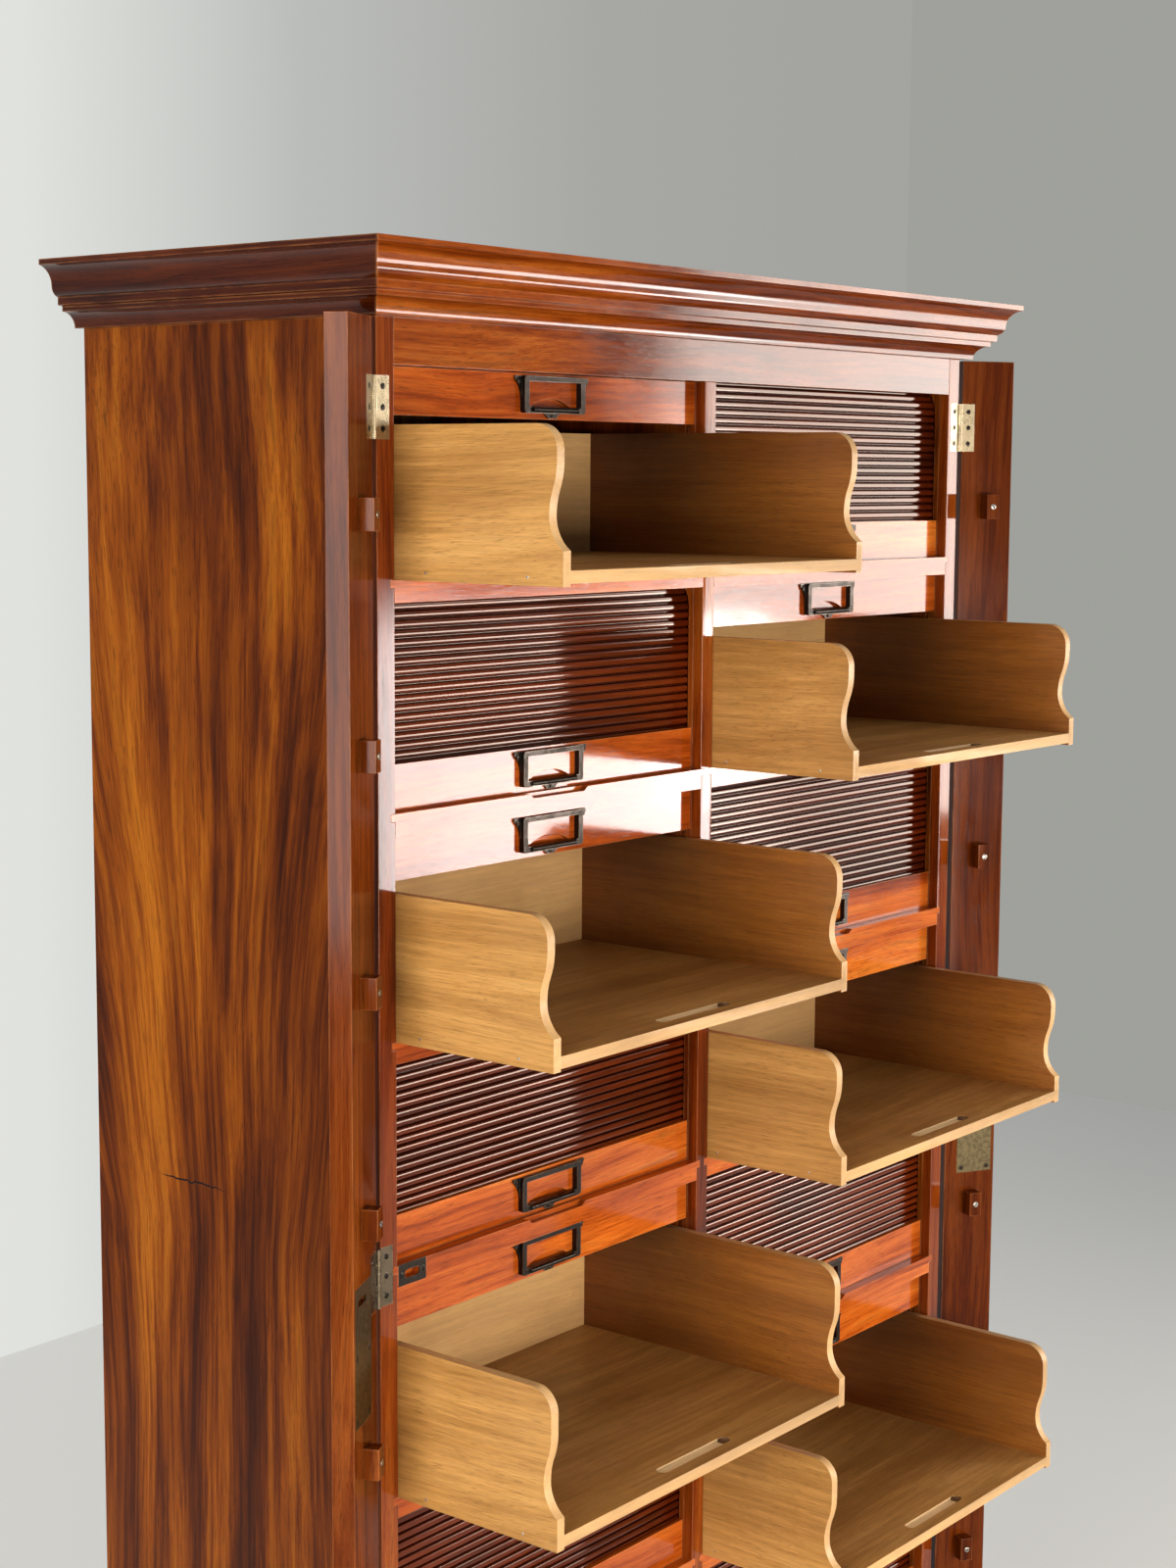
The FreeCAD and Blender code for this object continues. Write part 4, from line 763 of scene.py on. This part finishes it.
PIN_BACK = (38 * MM, 150 * MM, 262 * MM)
PIN_RISE = 7 * MM
PIN_HEAD = (1.3 * MM, 0.2 * MM)
for column in COLUMN_MIDDLE:
    for row in ROW_FLOORS:
        if not is_drawn(column, row):
            continue
        low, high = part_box(f"tray_{column}_{row}")
        vertices = []
        faces = []
        for face_x, facing in ((low[0], -1), (high[0], 1)):
            for back in PIN_BACK:
                spot = (face_x, low[1] + back, low[2] + PIN_RISE)
                new_vertices, new_faces = pin_head(spot, (facing, 0, 0), *PIN_HEAD)
                offset = len(vertices)
                vertices += new_vertices
                faces += [[corner + offset for corner in face] for face in new_faces]
        mesh = bpy.data.meshes.new(f"pins_{column}_{row}")
        mesh.from_pydata(vertices, [], faces)
        mesh.materials.append(materials["pin"])
        for polygon in mesh.polygons:
            polygon.use_smooth = True
        new_piece(f"tray_pins_{column}_{row}", mesh, f"{column}_tray_{row}")


# room: a pale floor, and two pale walls that glow for what looks at them and throw no light, with light and
# shade painted along them
BACK_WALL = 2.04
RIGHT_WALL = 3.95
SPAN = 16.0
ROOM_HEIGHT = 9.0


def sheet_of(name, corners, material):
    """One flat face of the room."""
    mesh = bpy.data.meshes.new(name)
    mesh.from_pydata(corners, [], [(0, 1, 2, 3)])
    mesh.materials.append(material)
    thing = bpy.data.objects.new(name, mesh)
    bpy.context.scene.collection.objects.link(thing)
    return thing


def wall_paint(name, axis, stops, low, high):
    """Glowing pale wall with painted light and shade that change along one axis; seen from behind it isn't
    there.
    """
    tree = new_tree(name)
    place = tree.split(tree.coordinates())["XYZ".index(axis)]
    painted_light = tree.ramp(tree.span(place, low, high), stops)
    glow = tree.add("Emission")
    tree.put(glow.inputs["Color"], painted_light)
    clear = tree.add("BsdfTransparent")
    either = tree.add("MixShader")
    tree.put(either.inputs[0], tree.geometry("Backfacing"))
    tree.put(either.inputs[1], glow.outputs[0])
    tree.put(either.inputs[2], clear.outputs[0])
    output = tree.add("OutputMaterial")
    tree.put(output.inputs[0], either.outputs[0])
    return tree.owner


floor_paint = new_tree("pale_floor").finish((0.70, 0.70, 0.67), 0.9)
sheet_of("floor", [(-SPAN, -SPAN, 0), (SPAN, -SPAN, 0), (SPAN, SPAN, 0), (-SPAN, SPAN, 0)], floor_paint)
# painted light and shade along the walls, as their glow
BACK_WALL_PAINTED_LIGHT = [(0.0, (0.38, 0.38, 0.37)), (0.38, (0.76, 0.77, 0.74)), (0.60, (0.75, 0.76, 0.73)),
              (0.74, (0.50, 0.51, 0.49)), (0.90, (0.39, 0.39, 0.37)), (1.0, (0.37, 0.37, 0.35))]
RIGHT_WALL_PAINTED_LIGHT = [(0.0, (0.24, 0.24, 0.23)), (1.0, (0.35, 0.355, 0.33))]
corners = [(-SPAN, BACK_WALL), (RIGHT_WALL, BACK_WALL), (RIGHT_WALL, -SPAN)]
walls = []
for name, start, end, paint in (
        ("back_wall", corners[0], corners[1], wall_paint("back_wall_paint", "X", BACK_WALL_PAINTED_LIGHT, -3.0, 3.95)),
        ("right_wall", corners[1], corners[2], wall_paint("right_wall_paint", "Y", RIGHT_WALL_PAINTED_LIGHT, -2.5, 0.5))):
    walls.append(sheet_of(name, [(*start, 0), (*end, 0), (*end, ROOM_HEIGHT), (*start, ROOM_HEIGHT)], paint))
for wall in walls:
    wall.visible_diffuse = False
    wall.visible_shadow = False


def softbox(name, spot, aim, size, radiance, spread=180, colour=(1.0, 1.0, 1.0)):
    """A rectangular light of a given radiance, turned to face a point."""
    lamp = bpy.data.lights.new(name, "AREA")
    lamp.shape = "RECTANGLE"
    lamp.size, lamp.size_y = size
    lamp.energy = radiance * math.pi * size[0] * size[1]
    lamp.spread = math.radians(spread)
    lamp.color = colour
    thing = bpy.data.objects.new(name, lamp)
    thing.location = spot
    thing.rotation_euler = (Vector(aim) - Vector(spot)).to_track_quat("-Z", "Y").to_euler()
    thing.visible_camera = False
    bpy.context.scene.collection.objects.link(thing)


DAYLIGHT = (1.0, 0.93, 0.86)
LEFT_DAYLIGHT = (1.0, 0.95, 0.89)
FAR_DAYLIGHT = (1.0, 0.95, 0.92)
softbox("left_window", (-3.5, -0.8, 1.48), (-0.4, -0.2, 1.3), (2.2, 1.6), 5.6, 130, LEFT_DAYLIGHT)
softbox("right_window", (3.3, -2.02, 1.52), (0.2, -0.2, 1.5), (1.15, 1.4), 4.8, 120, DAYLIGHT)
softbox("far_window", (3.3, -3.2, 0.84), (-0.2, -0.2, 1.2), (1.35, 0.86), 9.0, 120, FAR_DAYLIGHT)
softbox("front_fill", (-0.9, -4.3, 0.8), (0.1, 0, 0.45), (2.4, 1.2), 4.4, 80, DAYLIGHT)
softbox("back_fill", (-0.6, 4.6, 2.6), (0, 0.3, 1.0), (3.0, 2.4), 4.0)
softbox("ceiling", (0, 0, 8.0), (0, 0.01, 0), (12.0, 12.0), 0.5)

# world: even light on everything, and a mid grey for what looks past the walls
room = Tree(bpy.data.worlds.new("room"))
bpy.context.scene.world = room.owner
paths = room.add("LightPath").outputs
looked_at = room.math("MAXIMUM", paths["Is Camera Ray"], paths["Is Transmission Ray"])
looked_at = room.math("MAXIMUM", looked_at, paths["Is Glossy Ray"])
ambient = room.add("Background")
ambient.inputs["Color"].default_value = (0.95, 0.97, 1.0, 1)
ambient.inputs["Strength"].default_value = 0.22
seen = room.add("Background")
seen.inputs["Color"].default_value = (0.38, 0.385, 0.38, 1)
either = room.add("MixShader")
room.put(either.inputs[0], looked_at)
room.put(either.inputs[1], ambient.outputs[0])
room.put(either.inputs[2], seen.outputs[0])
room.put(room.add("OutputWorld").inputs[0], either.outputs[0])

# camera, solved from the photograph's straight edges; the focal length is in the photograph's pixels
EYE = Vector((-2.0048, -1.6499, 1.6486))
RIGHT = Vector((0.6280, -0.7782, 0.0057))
UP = Vector((0.0919, 0.0814, 0.9924))
FORWARD = Vector((0.7727, 0.6228, -0.1227))
FOCAL = 2551
IMAGE_HEIGHT = 1600
lens = bpy.data.cameras.new("camera")
lens.sensor_fit = "VERTICAL"
lens.sensor_height = 36
lens.lens = FOCAL / IMAGE_HEIGHT * lens.sensor_height
camera = bpy.data.objects.new("camera", lens)
aim = Matrix((RIGHT, UP, -FORWARD)).transposed()
camera.matrix_world = Matrix.Translation(EYE) @ aim.to_4x4()
bpy.context.scene.collection.objects.link(camera)
bpy.context.scene.camera = camera
bpy.context.scene.view_settings.view_transform = "Standard"
